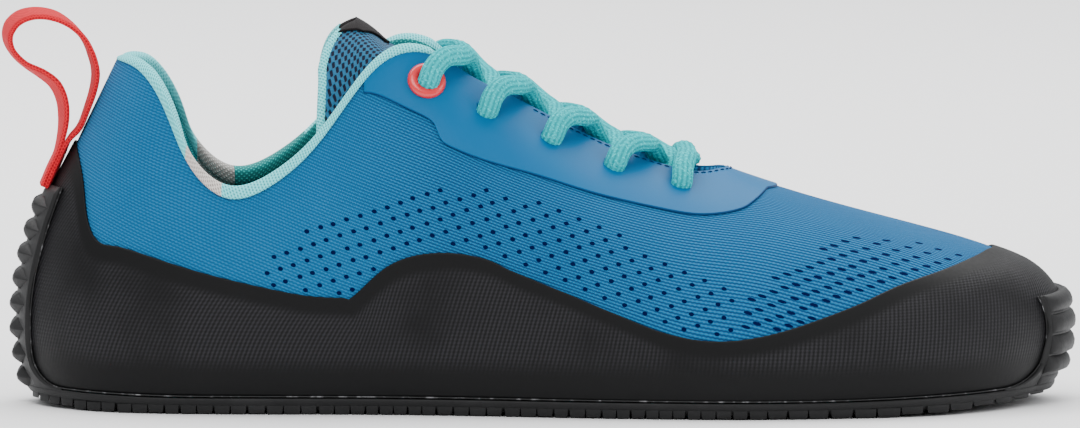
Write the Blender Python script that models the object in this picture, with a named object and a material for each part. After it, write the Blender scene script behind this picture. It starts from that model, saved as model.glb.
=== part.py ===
"""Barefoot running shoe, right foot.

The toe points along +X, the outer (lateral) side is -Y, and Z is up. The origin lies on the
floor under the heel. The last is a ring of ribs: each rib is a cubic curve that climbs from the
foot line, where upper and outsole meet, to the edge of the collar or throat. Every piece of the
shoe is cut from that one skin, or stands off from it by named thicknesses.
"""
import math

import bmesh
import bpy
import numpy as np

# Driving sizes in metres.
LAST_LENGTH = 0.2712        # lasted upper, back of heel to toe, outside
BALL_WIDTH = 0.1040         # foot line at the ball is a share of this
COLLAR_HEIGHT = 0.0912      # top of the upper at the heel, above the floor
HEEL_REST = 0.0425          # from the back of the last to the origin, along the shoe

# Walls and clearances.
GAP = 0.0003                # between pieces that are glued or stitched in the real shoe
UPPER_WALL = 0.0022
RAND_WALL = 0.0010
STAY_WALL = 0.0007
STAY_GAP = 0.00045
BINDING_WALL = 0.0009
BINDING_WIDTH = 0.0034
COLLAR_BAND = 0.0075        # shortest eyestay height, at the collar's front corners
BINDING_GAP = 0.0008        # the tape turns tightly, so it stands off a little more
TONGUE_WALL = 0.0030
TONGUE_TUCK = 1.9           # its half width, where 1 is the throat's edge and each 1 more is 8 mm
TONGUE_TOE_RUN = 0.014      # how far it runs on under the vamp
LABEL_WALL = 0.0006
LABEL_HALF = 0.45           # half width, in shares of the half throat
LABEL_RUN = 0.40            # length past the tongue's last row but one, in rows
LABEL_INSET = 0.12          # from the tongue's top edge, in rows
INSOLE_WALL = 0.0030

# Outsole.
LUG_HEIGHT = 0.0019
LUG_COLUMNS = (0, 0.14, 0.38, 0.62, 0.86, 1)    # shares of the sole's width
SOLE_PLATE = 0.0024
SOLE_LEDGE = 0.0007         # how far the plate stands out past the rand
SOLE_ROUND = 0.0022         # how far the lower edge is drawn in
TOE_SPRING = 0.0020         # rise shares in RIBS are taken of this
STRIP_WALL = 0.0014
HEEL_STRIP_WIDTH = 0.0190
HEEL_STRIP_HEIGHT = 0.0560
HEEL_LUG = 0.0024
HEEL_LUG_ROWS = 8
TOE_STRIP_WIDTH = 0.0330
TOE_STRIP_HEIGHT = 0.0250
TOE_RIB = 0.0013
TOE_RIB_ROWS = 4

# Lace, eyelets, pull loop.
LACE_DIAMETER = 0.0050
LACE_HOLE = 0.0048
HOLE_INSET = 0.0098         # hole centre to throat edge, along the skin
EYELET_OUTER = 0.0102
EYELET_BORE = 0.0044
EYELET_FLANGE = 0.0011
EYELET_TUBE = 0.0006
LOOP_WIDTH = 0.0105
LOOP_THICKNESS = 0.0019

# Sampling of the solids.
SIDE_STEPS = 30             # ribs from heel centre to toe centre, on each side
RAND_STEPS = 5
STAY_STEPS = 3
TONGUE_ROWS = 11
TONGUE_COLUMNS = 15
TUBE_SIDES = 6

HALF_BALL = BALL_WIDTH / 2
FOOT_HEIGHT = LUG_HEIGHT + SOLE_PLATE + GAP

# One row for each rib, heel to toe; toe and heel ribs are single, the others are a pair.
# along, outer, inner, rise: foot line (share of last length, of half ball width, of toe spring)
# bulge, lift: lower handle, out from and above the foot line
# reach, drop: upper handle, out from and below the opening's edge
# edge_along, edge_side, edge_up: the opening's edge
# Sideways values are shares of half the ball width, heights are shares of the collar height.
RIBS = (
    ("heel", 0.008, 0.000, 0.000, 0.55, 0.185, 0.311, 0.265, 0.320, 0.086, 0.000, 1.000),
    ("heel_quarter", 0.037, -0.365, 0.346, 0.35, 0.135, 0.296, 0.212, 0.318, 0.111, 0.279, 0.987),
    ("heel_side", 0.087, -0.558, 0.529, 0.15, 0.087, 0.274, 0.135, 0.285, 0.138, 0.442, 0.878),
    ("ankle_back", 0.146, -0.635, 0.596, 0.00, 0.077, 0.241, 0.096, 0.219, 0.160, 0.548, 0.730),
    ("ankle", 0.197, -0.658, 0.602, 0.00, 0.077, 0.219, 0.087, 0.186, 0.195, 0.596, 0.645),
    ("ankle_front", 0.256, -0.665, 0.577, 0.00, 0.077, 0.219, 0.096, 0.197, 0.239, 0.615, 0.684),
    ("waist", 0.323, -0.673, 0.554, 0.00, 0.087, 0.241, 0.115, 0.241, 0.284, 0.567, 0.803),
    ("collar_front", 0.378, -0.702, 0.554, 0.00, 0.087, 0.274, 0.163, 0.263, 0.322, 0.471, 0.953),
    ("corner", 0.426, -0.740, 0.577, 0.00, 0.096, 0.296, 0.231, 0.241, 0.356, 0.375, 1.037),
    ("throat_top", 0.466, -0.779, 0.625, 0.00, 0.096, 0.307, 0.288, 0.186, 0.387, 0.327, 1.035),
    ("throat_upper", 0.518, -0.837, 0.702, 0.00, 0.106, 0.307, 0.327, 0.143, 0.426, 0.298, 0.965),
    ("instep", 0.573, -0.885, 0.779, 0.00, 0.115, 0.296, 0.365, 0.121, 0.474, 0.279, 0.891),
    ("throat_lower", 0.640, -0.929, 0.865, 0.00, 0.125, 0.285, 0.385, 0.099, 0.548, 0.250, 0.777),
    ("ball", 0.713, -0.938, 0.938, 0.00, 0.135, 0.263, 0.423, 0.088, 0.614, 0.221, 0.700),
    ("toe_side", 0.795, -0.875, 0.942, 0.05, 0.144, 0.263, 0.519, 0.099, 0.651, 0.163, 0.674),
    ("toe_quarter", 0.876, -0.745, 0.850, 0.30, 0.163, 0.274, 0.731, 0.154, 0.670, 0.090, 0.679),
    ("toe_corner", 0.938, -0.470, 0.660, 0.45, 0.260, 0.345, 1.000, 0.212, 0.676, 0.042, 0.679),
    ("toe", 0.981, 0.115, 0.115, 0.68, 0.419, 0.425, 1.170, 0.250, 0.677, 0.000, 0.679),
)

# Top edge of the rand: along (share of last length), up (share of collar height).
RAND_WAVE = (
    (0.042, 0.768), (0.051, 0.669), (0.057, 0.550), (0.069, 0.490), (0.097, 0.474),
    (0.173, 0.408), (0.261, 0.350), (0.306, 0.339), (0.315, 0.340), (0.346, 0.423),
    (0.371, 0.458), (0.396, 0.470), (0.421, 0.468), (0.447, 0.452), (0.470, 0.421),
    (0.521, 0.362), (0.570, 0.303), (0.620, 0.248), (0.669, 0.228), (0.725, 0.251),
    (0.795, 0.319), (0.843, 0.379), (0.889, 0.420), (0.913, 0.442), (0.932, 0.458),
)

# Lower edge of the eyestay, in the same shares.
STAY_EDGE = (
    (0.324, 0.923), (0.341, 0.914), (0.368, 0.878), (0.393, 0.840), (0.401, 0.792),
    (0.411, 0.770), (0.445, 0.732), (0.498, 0.689), (0.551, 0.640), (0.603, 0.603),
    (0.642, 0.581), (0.668, 0.579), (0.692, 0.590), (0.705, 0.609), (0.719, 0.638),
)

# Lace holes on one side, top to toe: along, as a share of the last length.
LACE_HOLES = (0.387, 0.444, 0.506, 0.567, 0.633)

# One strand over the throat: share of the way to the next pair of holes, place across the
# throat (-1 is the near edge, +1 the far edge), height of the strand's axis in lace diameters
# above the skin when it runs under, and when it runs over at the crossing.
STRAND = (
    (0.00, -1.95, 1.18, 1.18),
    (0.28, -1.45, 1.16, 1.16),
    (0.60, -1.00, 0.90, 0.94),
    (0.84, -0.50, 0.12, 0.84),
    (1.02, 0.00, -0.26, 0.68),
    (1.08, 0.34, -0.26, 0.38),
    (1.11, 0.56, -0.26, -0.02),
)

# The straight bar at the lowest holes: place across, height in lace diameters.
BAR = ((-1.95, 0.84), (-1.45, 0.90), (-0.95, 0.84), (0.00, 0.62), (0.95, 0.84), (1.45, 0.90), (1.95, 0.84))

BAR_BOW = 0.034             # how far the bar bows towards the toe, in steps of s
LAST_REACH = 0.80           # how far the lowest crossing gets, of the way that the others go

# How far the throat's middle stands above its edges, as a share of half the ball width.
CROWN = (
    ("waist", 0.640), ("collar_front", 0.360), ("corner", 0.085), ("throat_top", -0.015),
    ("throat_upper", -0.035), ("instep", -0.035), ("throat_lower", -0.030), ("ball", -0.015),
    ("toe_side", 0.006), ("toe", 0.0),
)

# Pull loop above its stitched foot, back limb to front limb: along from the back of the last
# (share of last length), up (share of collar height), twist in degrees.
PULL_LOOP = (
    (0.030, 0.880, 6), (0.021, 0.931, 12), (0.008, 0.963, 16), (-0.006, 0.996, 20),
    (-0.018, 1.033, 20), (-0.020, 1.073, 14), (-0.010, 1.110, 6), (0.010, 1.124, -2),
    (0.029, 1.112, -8), (0.047, 1.079, -14), (0.058, 1.036, -14), (0.061, 0.989, -10),
    (0.058, 0.943, -6), (0.052, 0.894, -3),
)

# Materials: colour, roughness.
FINISH = {
    "rubber": ((0.030, 0.031, 0.034), 0.62),
    "rand_film": ((0.024, 0.024, 0.029), 0.55),
    "knit": ((0.028, 0.200, 0.420), 0.85),
    "film": ((0.024, 0.250, 0.470), 0.45),
    "tape": ((0.210, 0.720, 0.700), 0.80),
    "mesh": ((0.060, 0.230, 0.420), 0.85),
    "label": ((0.030, 0.030, 0.035), 0.70),
    "foam": ((0.300, 0.290, 0.280), 0.90),
    "lace": ((0.080, 0.620, 0.580), 0.80),
    "eyelet": ((0.800, 0.060, 0.080), 0.30),
    "webbing": ((0.780, 0.090, 0.110), 0.80),
}


def material(name):
    """Principled material with the colour and roughness of one of the shoe's stuffs."""
    colour, roughness = FINISH[name]
    mat = bpy.data.materials.new(name)
    mat.use_nodes = True
    shader = mat.node_tree.nodes["Principled BSDF"]
    shader.inputs["Base Color"].default_value = (*colour, 1)
    shader.inputs["Roughness"].default_value = roughness
    shader.inputs["Metallic"].default_value = 0
    return mat


def unit(vector):
    return vector / np.linalg.norm(vector, axis=-1, keepdims=True)


# The skin: a closed spline round the shoe through the ribs.

def rib_frame():
    """Knots round the shoe and, for each, foot point, edge point and the four handle lengths."""
    outer, inner = [], []
    for name, along, out_side, in_side, rise, bulge, lift, reach, drop, ea, es, eu in RIBS:
        handles = (bulge * HALF_BALL, lift * COLLAR_HEIGHT, reach * HALF_BALL, drop * COLLAR_HEIGHT)
        foot_z = FOOT_HEIGHT + rise * TOE_SPRING
        for side, foot_side, sign in ((outer, out_side, -1), (inner, in_side, 1)):
            foot = (along * LAST_LENGTH - HEEL_REST, foot_side * HALF_BALL, foot_z)
            edge = (ea * LAST_LENGTH - HEEL_REST, sign * es * HALF_BALL, eu * COLLAR_HEIGHT)
            side.append(foot + edge + handles)
    outer, inner = np.array(outer), np.array(inner)
    steps = np.zeros(len(RIBS))
    for rows in (outer, inner):
        steps[1:] += np.linalg.norm(np.diff(rows[:, :3], axis=0), axis=1) / 4
        steps[1:] += np.linalg.norm(np.diff(rows[:, 3:6], axis=0), axis=1) / 4
    knots = np.cumsum(steps)
    knots /= knots[-1]
    values = np.vstack([outer, inner[-2:0:-1]])
    around = np.concatenate([knots, 2 - knots[-2:0:-1]])
    return around, values


def second_derivatives(knots, values, period):
    """Second derivatives of the periodic cubic spline through the values."""
    count = len(knots)
    gaps = np.diff(np.append(knots, knots[0] + period))
    matrix = np.zeros((count, count))
    right = np.zeros_like(values)
    for i in range(count):
        before, after = gaps[i - 1], gaps[i]
        matrix[i, i - 1] += before
        matrix[i, i] += 2 * (before + after)
        matrix[i, (i + 1) % count] += after
        slope_after = (values[(i + 1) % count] - values[i]) / after
        slope_before = (values[i] - values[i - 1]) / before
        right[i] = 6 * (slope_after - slope_before)
    return np.linalg.solve(matrix, right)


KNOTS, ROWS = rib_frame()
BENDS = second_derivatives(KNOTS, ROWS, 2.0)


def around(s):
    """All spline columns at s, which runs 0 heel, 1 toe along the outer side, 2 heel again."""
    s = np.mod(np.asarray(s, float), 2.0)
    ends = np.append(KNOTS, 2.0)
    i = np.clip(np.searchsorted(ends, s, side="right") - 1, 0, len(KNOTS) - 1)
    j = (i + 1) % len(KNOTS)
    gap = (ends[i + 1] - ends[i])[..., None]
    b = (s - ends[i])[..., None] / gap
    a = 1 - b
    curve = ((a ** 3 - a) * BENDS[i] + (b ** 3 - b) * BENDS[j]) * gap ** 2 / 6
    return a * ROWS[i] + b * ROWS[j] + curve


def outward(s):
    """Level unit vector that points out of the shoe across the foot line."""
    step = 1e-3
    run = around(s + step)[..., :3] - around(s - step)[..., :3]
    normal = np.stack([-run[..., 1], run[..., 0], np.zeros_like(run[..., 0])], axis=-1)
    return -unit(normal)


def handles(s):
    """The four control points of the rib at s."""
    row = around(s)
    out = outward(s)
    up = np.array([0.0, 0.0, 1.0])
    foot, edge = row[..., 0:3], row[..., 3:6]
    low = foot + out * row[..., 6:7] + up * row[..., 7:8]
    high = edge + out * row[..., 8:9] - up * row[..., 9:10]
    return foot, low, high, edge


def bare(s, v):
    """Point of the skin: v runs 0 at the foot line to 1 at the opening's edge, and past it."""
    foot, low, high, edge = handles(s)
    v = np.asarray(v, float)[..., None]
    w = np.minimum(v, 1)
    point = (1 - w) ** 3 * foot + 3 * w * (1 - w) ** 2 * low + 3 * w * w * (1 - w) * high + w ** 3 * edge
    return point + np.maximum(v - 1, 0) * 3 * (edge - high)


def skin(s, v, offset=0.0):
    """Point at an offset along the skin's outward normal, which lies level at the foot line."""
    s, v = np.broadcast_arrays(np.asarray(s, float), np.asarray(v, float))
    step = 2e-3
    along = bare(s + step, v) - bare(s - step, v)
    up = bare(s, v + step) - bare(s, v - step)
    normal = unit(np.cross(along, up))
    normal[..., 2] *= np.clip(v / 0.1, 0, 1)
    return bare(s, v) + unit(normal) * np.asarray(offset)[..., None]


def rise_to(s, distance, offset=0.0):
    """v at a distance up the rib from the foot line."""
    v = np.linspace(0, 1, 241)
    line = skin(np.full_like(v, s), v, offset)
    length = np.append(0, np.cumsum(np.linalg.norm(np.diff(line, axis=0), axis=1)))
    return float(np.interp(distance, length, v))


def drop_to(s, distance):
    """v at a distance down the rib from the opening's edge."""
    v = np.linspace(1, 0.2, 161)
    line = bare(np.full_like(v, s), v)
    length = np.append(0, np.cumsum(np.linalg.norm(np.diff(line, axis=0), axis=1)))
    return float(np.interp(distance, length, v))


def height_of(table, x):
    """Height of a drawn edge above the floor at x."""
    along = [row[0] * LAST_LENGTH - HEEL_REST for row in table]
    up = [row[1] * COLLAR_HEIGHT for row in table]
    return np.interp(x, along, up)


def crossing(s, table, offset, downwards=False):
    """v where the rib first meets a drawn edge, from the foot line or from the opening."""
    v = np.linspace(1, 0.05, 191) if downwards else np.linspace(0, 1, 201)
    line = skin(np.full_like(v, s), v, offset)
    above = line[:, 2] - height_of(table, line[:, 0])
    past = above < 0 if downwards else above > 0
    i = int(np.argmax(past))
    if not past[i]:
        return float(v[-1])
    if i == 0:
        return float(v[0])
    share = above[i - 1] / (above[i - 1] - above[i])
    return float(v[i - 1] + share * (v[i] - v[i - 1]))


def stations():
    """s for one side, heel centre to toe centre, with a rib on each strip's edge."""
    s = np.linspace(0, 1, 1601)
    outer, inner = around(s)[:, :3], around(2 - s)[:, :3]
    steps = np.linalg.norm(np.diff(outer, axis=0), axis=1) + np.linalg.norm(np.diff(inner, axis=0), axis=1)
    length = np.append(0, np.cumsum(steps / 2))
    heel, toe = HEEL_STRIP_WIDTH / 2, TOE_STRIP_WIDTH / 2
    middle = np.linspace(heel, length[-1] - toe, SIDE_STEPS - 2)
    places = np.concatenate([[0], middle, [length[-1] - toe / 2, length[-1]]])
    return np.interp(places, length, s)


SIDE = stations()
RING = np.concatenate([SIDE, 2 - SIDE[-2:0:-1]])
COUNT = len(RING)
HALF = COUNT // 2


# Mesh builders.

def make(name, stuff, points, faces, smooth=True):
    """Closed mesh object that faces out."""
    mesh = bpy.data.meshes.new(name)
    mesh.from_pydata([tuple(map(float, p)) for p in points], [], faces)
    bm = bmesh.new()
    bm.from_mesh(mesh)
    bmesh.ops.recalc_face_normals(bm, faces=bm.faces)
    if bm.calc_volume(signed=True) < 0:
        bmesh.ops.reverse_faces(bm, faces=bm.faces)
    bm.to_mesh(mesh)
    bm.free()
    for polygon in mesh.polygons:
        polygon.use_smooth = smooth
    obj = bpy.data.objects.new(name, mesh)
    bpy.context.collection.objects.link(obj)
    mesh.materials.append(material(stuff))
    return obj


def wall(name, stuff, outer, inner, ring):
    """Solid between two grids of points; ring closes it along its first axis."""
    rows, columns = outer.shape[:2]
    points = np.concatenate([outer.reshape(-1, 3), inner.reshape(-1, 3)])
    shift = rows * columns
    faces = []
    last = rows if ring else rows - 1
    for i in range(last):
        k = (i + 1) % rows
        for j in range(columns - 1):
            a, b, c, d = i * columns + j, k * columns + j, k * columns + j + 1, i * columns + j + 1
            faces.append((a, b, c, d))
            faces.append((a + shift, d + shift, c + shift, b + shift))
        for j in (0, columns - 1):
            a, b = i * columns + j, k * columns + j
            faces.append((a, b, b + shift, a + shift))
    if not ring:
        for i in (0, rows - 1):
            for j in range(columns - 1):
                a, b = i * columns + j, i * columns + j + 1
                faces.append((a, b, b + shift, a + shift))
    return make(name, stuff, points, faces)


def sweep(name, stuff, rings, closed=False, smooth=True):
    """Solid through closed rings of points, with flat ends unless it is closed on itself."""
    rings = np.asarray(rings)
    rows, sides = rings.shape[:2]
    faces = []
    for i in range(rows if closed else rows - 1):
        k = (i + 1) % rows
        for j in range(sides):
            n = (j + 1) % sides
            faces.append((i * sides + j, k * sides + j, k * sides + n, i * sides + n))
    if not closed:
        faces.append(tuple(range(sides)))
        faces.append(tuple((rows - 1) * sides + j for j in range(sides)))
    return make(name, stuff, rings.reshape(-1, 3), faces, smooth)


def smooth_line(points, steps):
    """Catmull-Rom curve through hand-set points."""
    points = np.asarray(points, float)
    padded = np.vstack([2 * points[0] - points[1], points, 2 * points[-1] - points[-2]])
    line = []
    for i in range(len(points) - 1):
        a, b, c, d = padded[i:i + 4]
        for t in np.arange(steps) / steps:
            line.append(0.5 * (2 * b + (c - a) * t + (2 * a - 5 * b + 4 * c - d) * t ** 2
                               + (3 * b - a - 3 * c + d) * t ** 3))
    line.append(points[-1])
    return np.array(line)


# The pieces.

def rand_levels(s):
    """v of the rand's rows at s, from the foot line to its wavy top edge."""
    return crossing(s, RAND_WAVE, GAP + RAND_WALL) * np.linspace(0, 1, RAND_STEPS + 1)


def rand():
    inside, outside = GAP, GAP + RAND_WALL
    v = np.array([rand_levels(s) for s in RING])
    s = np.repeat(RING[:, None], v.shape[1], axis=1)
    return wall("rand", "rand_film", skin(s, v, outside), skin(s, v, inside), True)


def stay_span():
    """First and last s of the eyestay: round the toe end from one collar corner to the other."""
    s = np.linspace(0, 1, 2001)
    edge = around(s)[:, 3]
    start = STAY_EDGE[0][0] * LAST_LENGTH - HEEL_REST
    rising = s[(edge > start) & (s > 0.2)]
    return float(rising[0]) + 0.012, 2 - float(rising[0]) - 0.012


def stay_levels(s):
    """v of the rows at s from the eyestay's lower edge, or a collar's width down, to the opening."""
    first, last = stay_span()
    low = drop_to(s, COLLAR_BAND)
    if first <= s <= last:
        low = min(low, crossing(s, STAY_EDGE, STAY_GAP + STAY_WALL, downwards=True))
    return np.linspace(low, 1, STAY_STEPS + 1)


def upper():
    rows = []
    for s in RING:
        low, high = rand_levels(s), stay_levels(s)
        rows.append(np.concatenate([low, [(low[-1] + high[0]) / 2], high]))
    v = np.array(rows)
    s = np.repeat(RING[:, None], v.shape[1], axis=1)
    return wall("upper", "knit", skin(s, v), skin(s, v, -UPPER_WALL), True)


def eyestay():
    first, last = stay_span()
    step = np.array([front_corner() - 0.003, front_corner() - 0.002])
    ribs = RING[(RING > first + 0.006) & (RING < last - 0.006)]
    ribs = ribs[np.abs(np.minimum(ribs, 2 - ribs) - step[1]) > 0.006]
    s = np.sort(np.concatenate([[first], ribs, step, 2 - step, [last]]))
    rows = []
    for x in s:
        levels = stay_levels(x)
        top = 1.0 if s_in_throat(x) else drop_to(x, BINDING_WIDTH + 2 * GAP)
        rows.append(levels[0] + (levels - levels[0]) * (top - levels[0]) / (1 - levels[0]))
    v = np.array(rows)
    s = np.repeat(s[:, None], v.shape[1], axis=1)
    return wall("eyestay", "film", skin(s, v, STAY_GAP + STAY_WALL), skin(s, v, STAY_GAP), False)


def knot_of(name):
    """s of a named rib on the outer side."""
    names = [row[0] for row in RIBS]
    return float(KNOTS[names.index(name)])


def front_corner():
    """s where the collar's binding gives way to the eyestay's bare edge."""
    return (knot_of("corner") + knot_of("throat_top")) / 2


def s_in_throat(s):
    return front_corner() - 0.0025 < s < 2 - front_corner() + 0.0025


def collar_binding():
    """U-shaped tape over the collar's edge, from one front corner round the heel to the other."""
    corner = front_corner() - 0.006
    side = SIDE[SIDE < corner - 0.008]
    half = np.append(side, corner)
    around_heel = np.mod(np.concatenate([-half[:0:-1], half]), 2.0)
    near, far = BINDING_GAP, BINDING_GAP + BINDING_WALL
    middle, spread = -UPPER_WALL / 2, UPPER_WALL / 2
    rings = []
    for x in around_heel:
        low = drop_to(x, BINDING_WIDTH)
        edge = bare(np.array(x), np.array(1.0))
        up = unit(edge - bare(np.array(x), np.array(0.98)))
        across = unit(skin(np.array(x), np.array(1.0), np.array(1e-3)) - edge)
        profile = ((spread + far, 0), (0.8 * (spread + far), 0.75 * far), (0, far))
        over = [edge + across * (middle + out) + up * lift for out, lift in profile]
        over += [edge + across * (middle - out) + up * lift for out, lift in reversed(profile[:2])]
        under = [edge + across * (middle - sign * (spread + near)) + up * near for sign in (1, -1)]
        leaf = [skin(np.array(x), np.array(low), np.array(d)) for d in
                (far, -UPPER_WALL - far, -UPPER_WALL - near, near)]
        rings.append([leaf[0], *over, leaf[1], leaf[2], *under, leaf[3]])
    return sweep("collar_binding", "tape", rings)


def bridge(s, w):
    """Skin carried on across the throat: w runs -1 at the outer edge to +1 at the inner edge."""
    first, last = around(s)[..., 3:6], around(2 - s)[..., 3:6]
    places = [knot_of(name) for name, crown in CROWN]
    crown = np.interp(s, places, [crown for name, crown in CROWN]) * HALF_BALL
    t = ((np.asarray(w, float) + 1) / 2)[..., None]
    rise = (1 - np.abs(2 * t - 1) ** 2.5) * crown[..., None]
    return first + (last - first) * t + rise * np.array([0.0, 0.0, 1.0])


def instep_bare(s, w):
    """Skin over the instep; past -1 and +1 it follows the ribs down, one unit for each 8 mm."""
    s, w = np.broadcast_arrays(np.asarray(s, float), np.asarray(w, float))
    over = np.clip(np.abs(w) - 1, 0, None)
    side = np.where(w < 0, s, 2 - s)
    foot, low, high, edge = handles(side)
    speed = 3 * np.linalg.norm(edge - high, axis=-1)
    down = bare(side, 1 - over * 0.008 / speed)
    return np.where((np.abs(w) <= 1)[..., None], bridge(s, np.clip(w, -1, 1)), down)


def instep(s, w, offset):
    """Instep skin at an offset along its upward normal."""
    s, w = np.broadcast_arrays(np.asarray(s, float), np.asarray(w, float))
    step = 4e-3
    along = instep_bare(s + step, w) - instep_bare(s - step, w)
    across = instep_bare(s, w + 0.05) - instep_bare(s, w - 0.05)
    normal = unit(np.cross(along, across))
    return instep_bare(s, w) + normal * np.asarray(offset)[..., None]


def tongue_skin(s, w, depth=0.0):
    """Surface of the tongue, clear of the upper and of the binding inside it."""
    return instep(s, w, -(UPPER_WALL + BINDING_GAP + BINDING_WALL + GAP + depth))


def tongue_top(w):
    """s of the tongue's upper end: the crest in the middle, ears further back at the sides."""
    crest, ears = knot_of("collar_front"), knot_of("waist")
    return crest + (ears - crest) * np.sin(math.pi / 2 * np.minimum(1.15 * np.abs(w), 1)) ** 2


def tongue_grid(depth):
    start = knot_of("toe_side")
    w = np.linspace(-TONGUE_TUCK, TONGUE_TUCK, TONGUE_COLUMNS)
    share = np.linspace(0, 1, TONGUE_ROWS)[:, None]
    s = start + (tongue_top(w)[None] - start) * share
    grid = tongue_skin(s, np.broadcast_to(w, s.shape), depth)
    toe_rib = handles(np.array(1.0))
    slope = unit(toe_rib[2] - toe_rib[3])
    tip = grid[0] + slope * TONGUE_TOE_RUN
    tip[:, 2] -= GAP
    return np.concatenate([tip[None], grid])


def tongue():
    return wall("tongue", "mesh", tongue_grid(0), tongue_grid(TONGUE_WALL), False)


def tongue_label():
    """Dark woven label on the tongue's crest, near its top, laid on the tongue's own grid."""
    middle = TONGUE_COLUMNS // 2
    half = LABEL_HALF * middle / TONGUE_TUCK
    columns = np.array([middle - half, middle - 1, middle, middle + 1, middle + half])
    rows = TONGUE_ROWS - np.array([1 + LABEL_RUN, 1, LABEL_INSET])
    grids = []
    for lift in (LABEL_WALL, 0):
        grid = tongue_grid(-2 * GAP - lift)
        low = np.minimum(np.floor(rows).astype(int), TONGUE_ROWS - 1)
        part = (rows - low)[:, None, None]
        grid = grid[low] * (1 - part) + grid[low + 1] * part
        low = np.floor(columns).astype(int)
        part = (columns - low)[None, :, None]
        grids.append(grid[:, low] * (1 - part) + grid[:, low + 1] * part)
    return wall("tongue_label", "label", *grids, False)


def plate(ring, shares, points, faces, keep):
    """Fills a ring with rows across; keep collects each square's face, row and column."""
    columns = len(shares)
    index = []
    for i in range(1, HALF):
        a, b = points[ring[i]], points[ring[COUNT - i]]
        row = [ring[i]]
        for share in shares[1:-1]:
            points.append(a + (b - a) * share)
            row.append(len(points) - 1)
        row.append(ring[COUNT - i])
        index.append(row)
    for number, (first, second) in enumerate(zip(index[:-1], index[1:])):
        for j in range(columns - 1):
            keep.append((len(faces), number, j))
            faces.append((first[j], second[j], second[j + 1], first[j + 1]))
    for tip, row in ((ring[0], index[0]), (ring[HALF], index[-1])):
        for j in range(columns - 1):
            faces.append((tip, row[j], row[j + 1]))


def level_ring(offset, height):
    """Ring at the foot line, moved out level, at a given height above the foot line."""
    foot = around(RING)[:, :3]
    ring = foot + outward(RING) * np.asarray(offset).reshape(-1, 1)
    ring[:, 2] += height
    return ring


def raise_lug(points, faces, face, centre_shift, shrink):
    """Turns one square into a low frustum."""
    corners = [points[k] for k in faces[face]]
    centre = sum(corners) / len(corners)
    first = len(points)
    for corner in corners:
        points.append(centre + (corner - centre) * shrink + centre_shift)
    ids = faces[face]
    count = len(ids)
    top = tuple(range(first, first + count))
    for k in range(count):
        n = (k + 1) % count
        faces.append((ids[k], ids[n], top[n], top[k]))
    faces[face] = top


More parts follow.
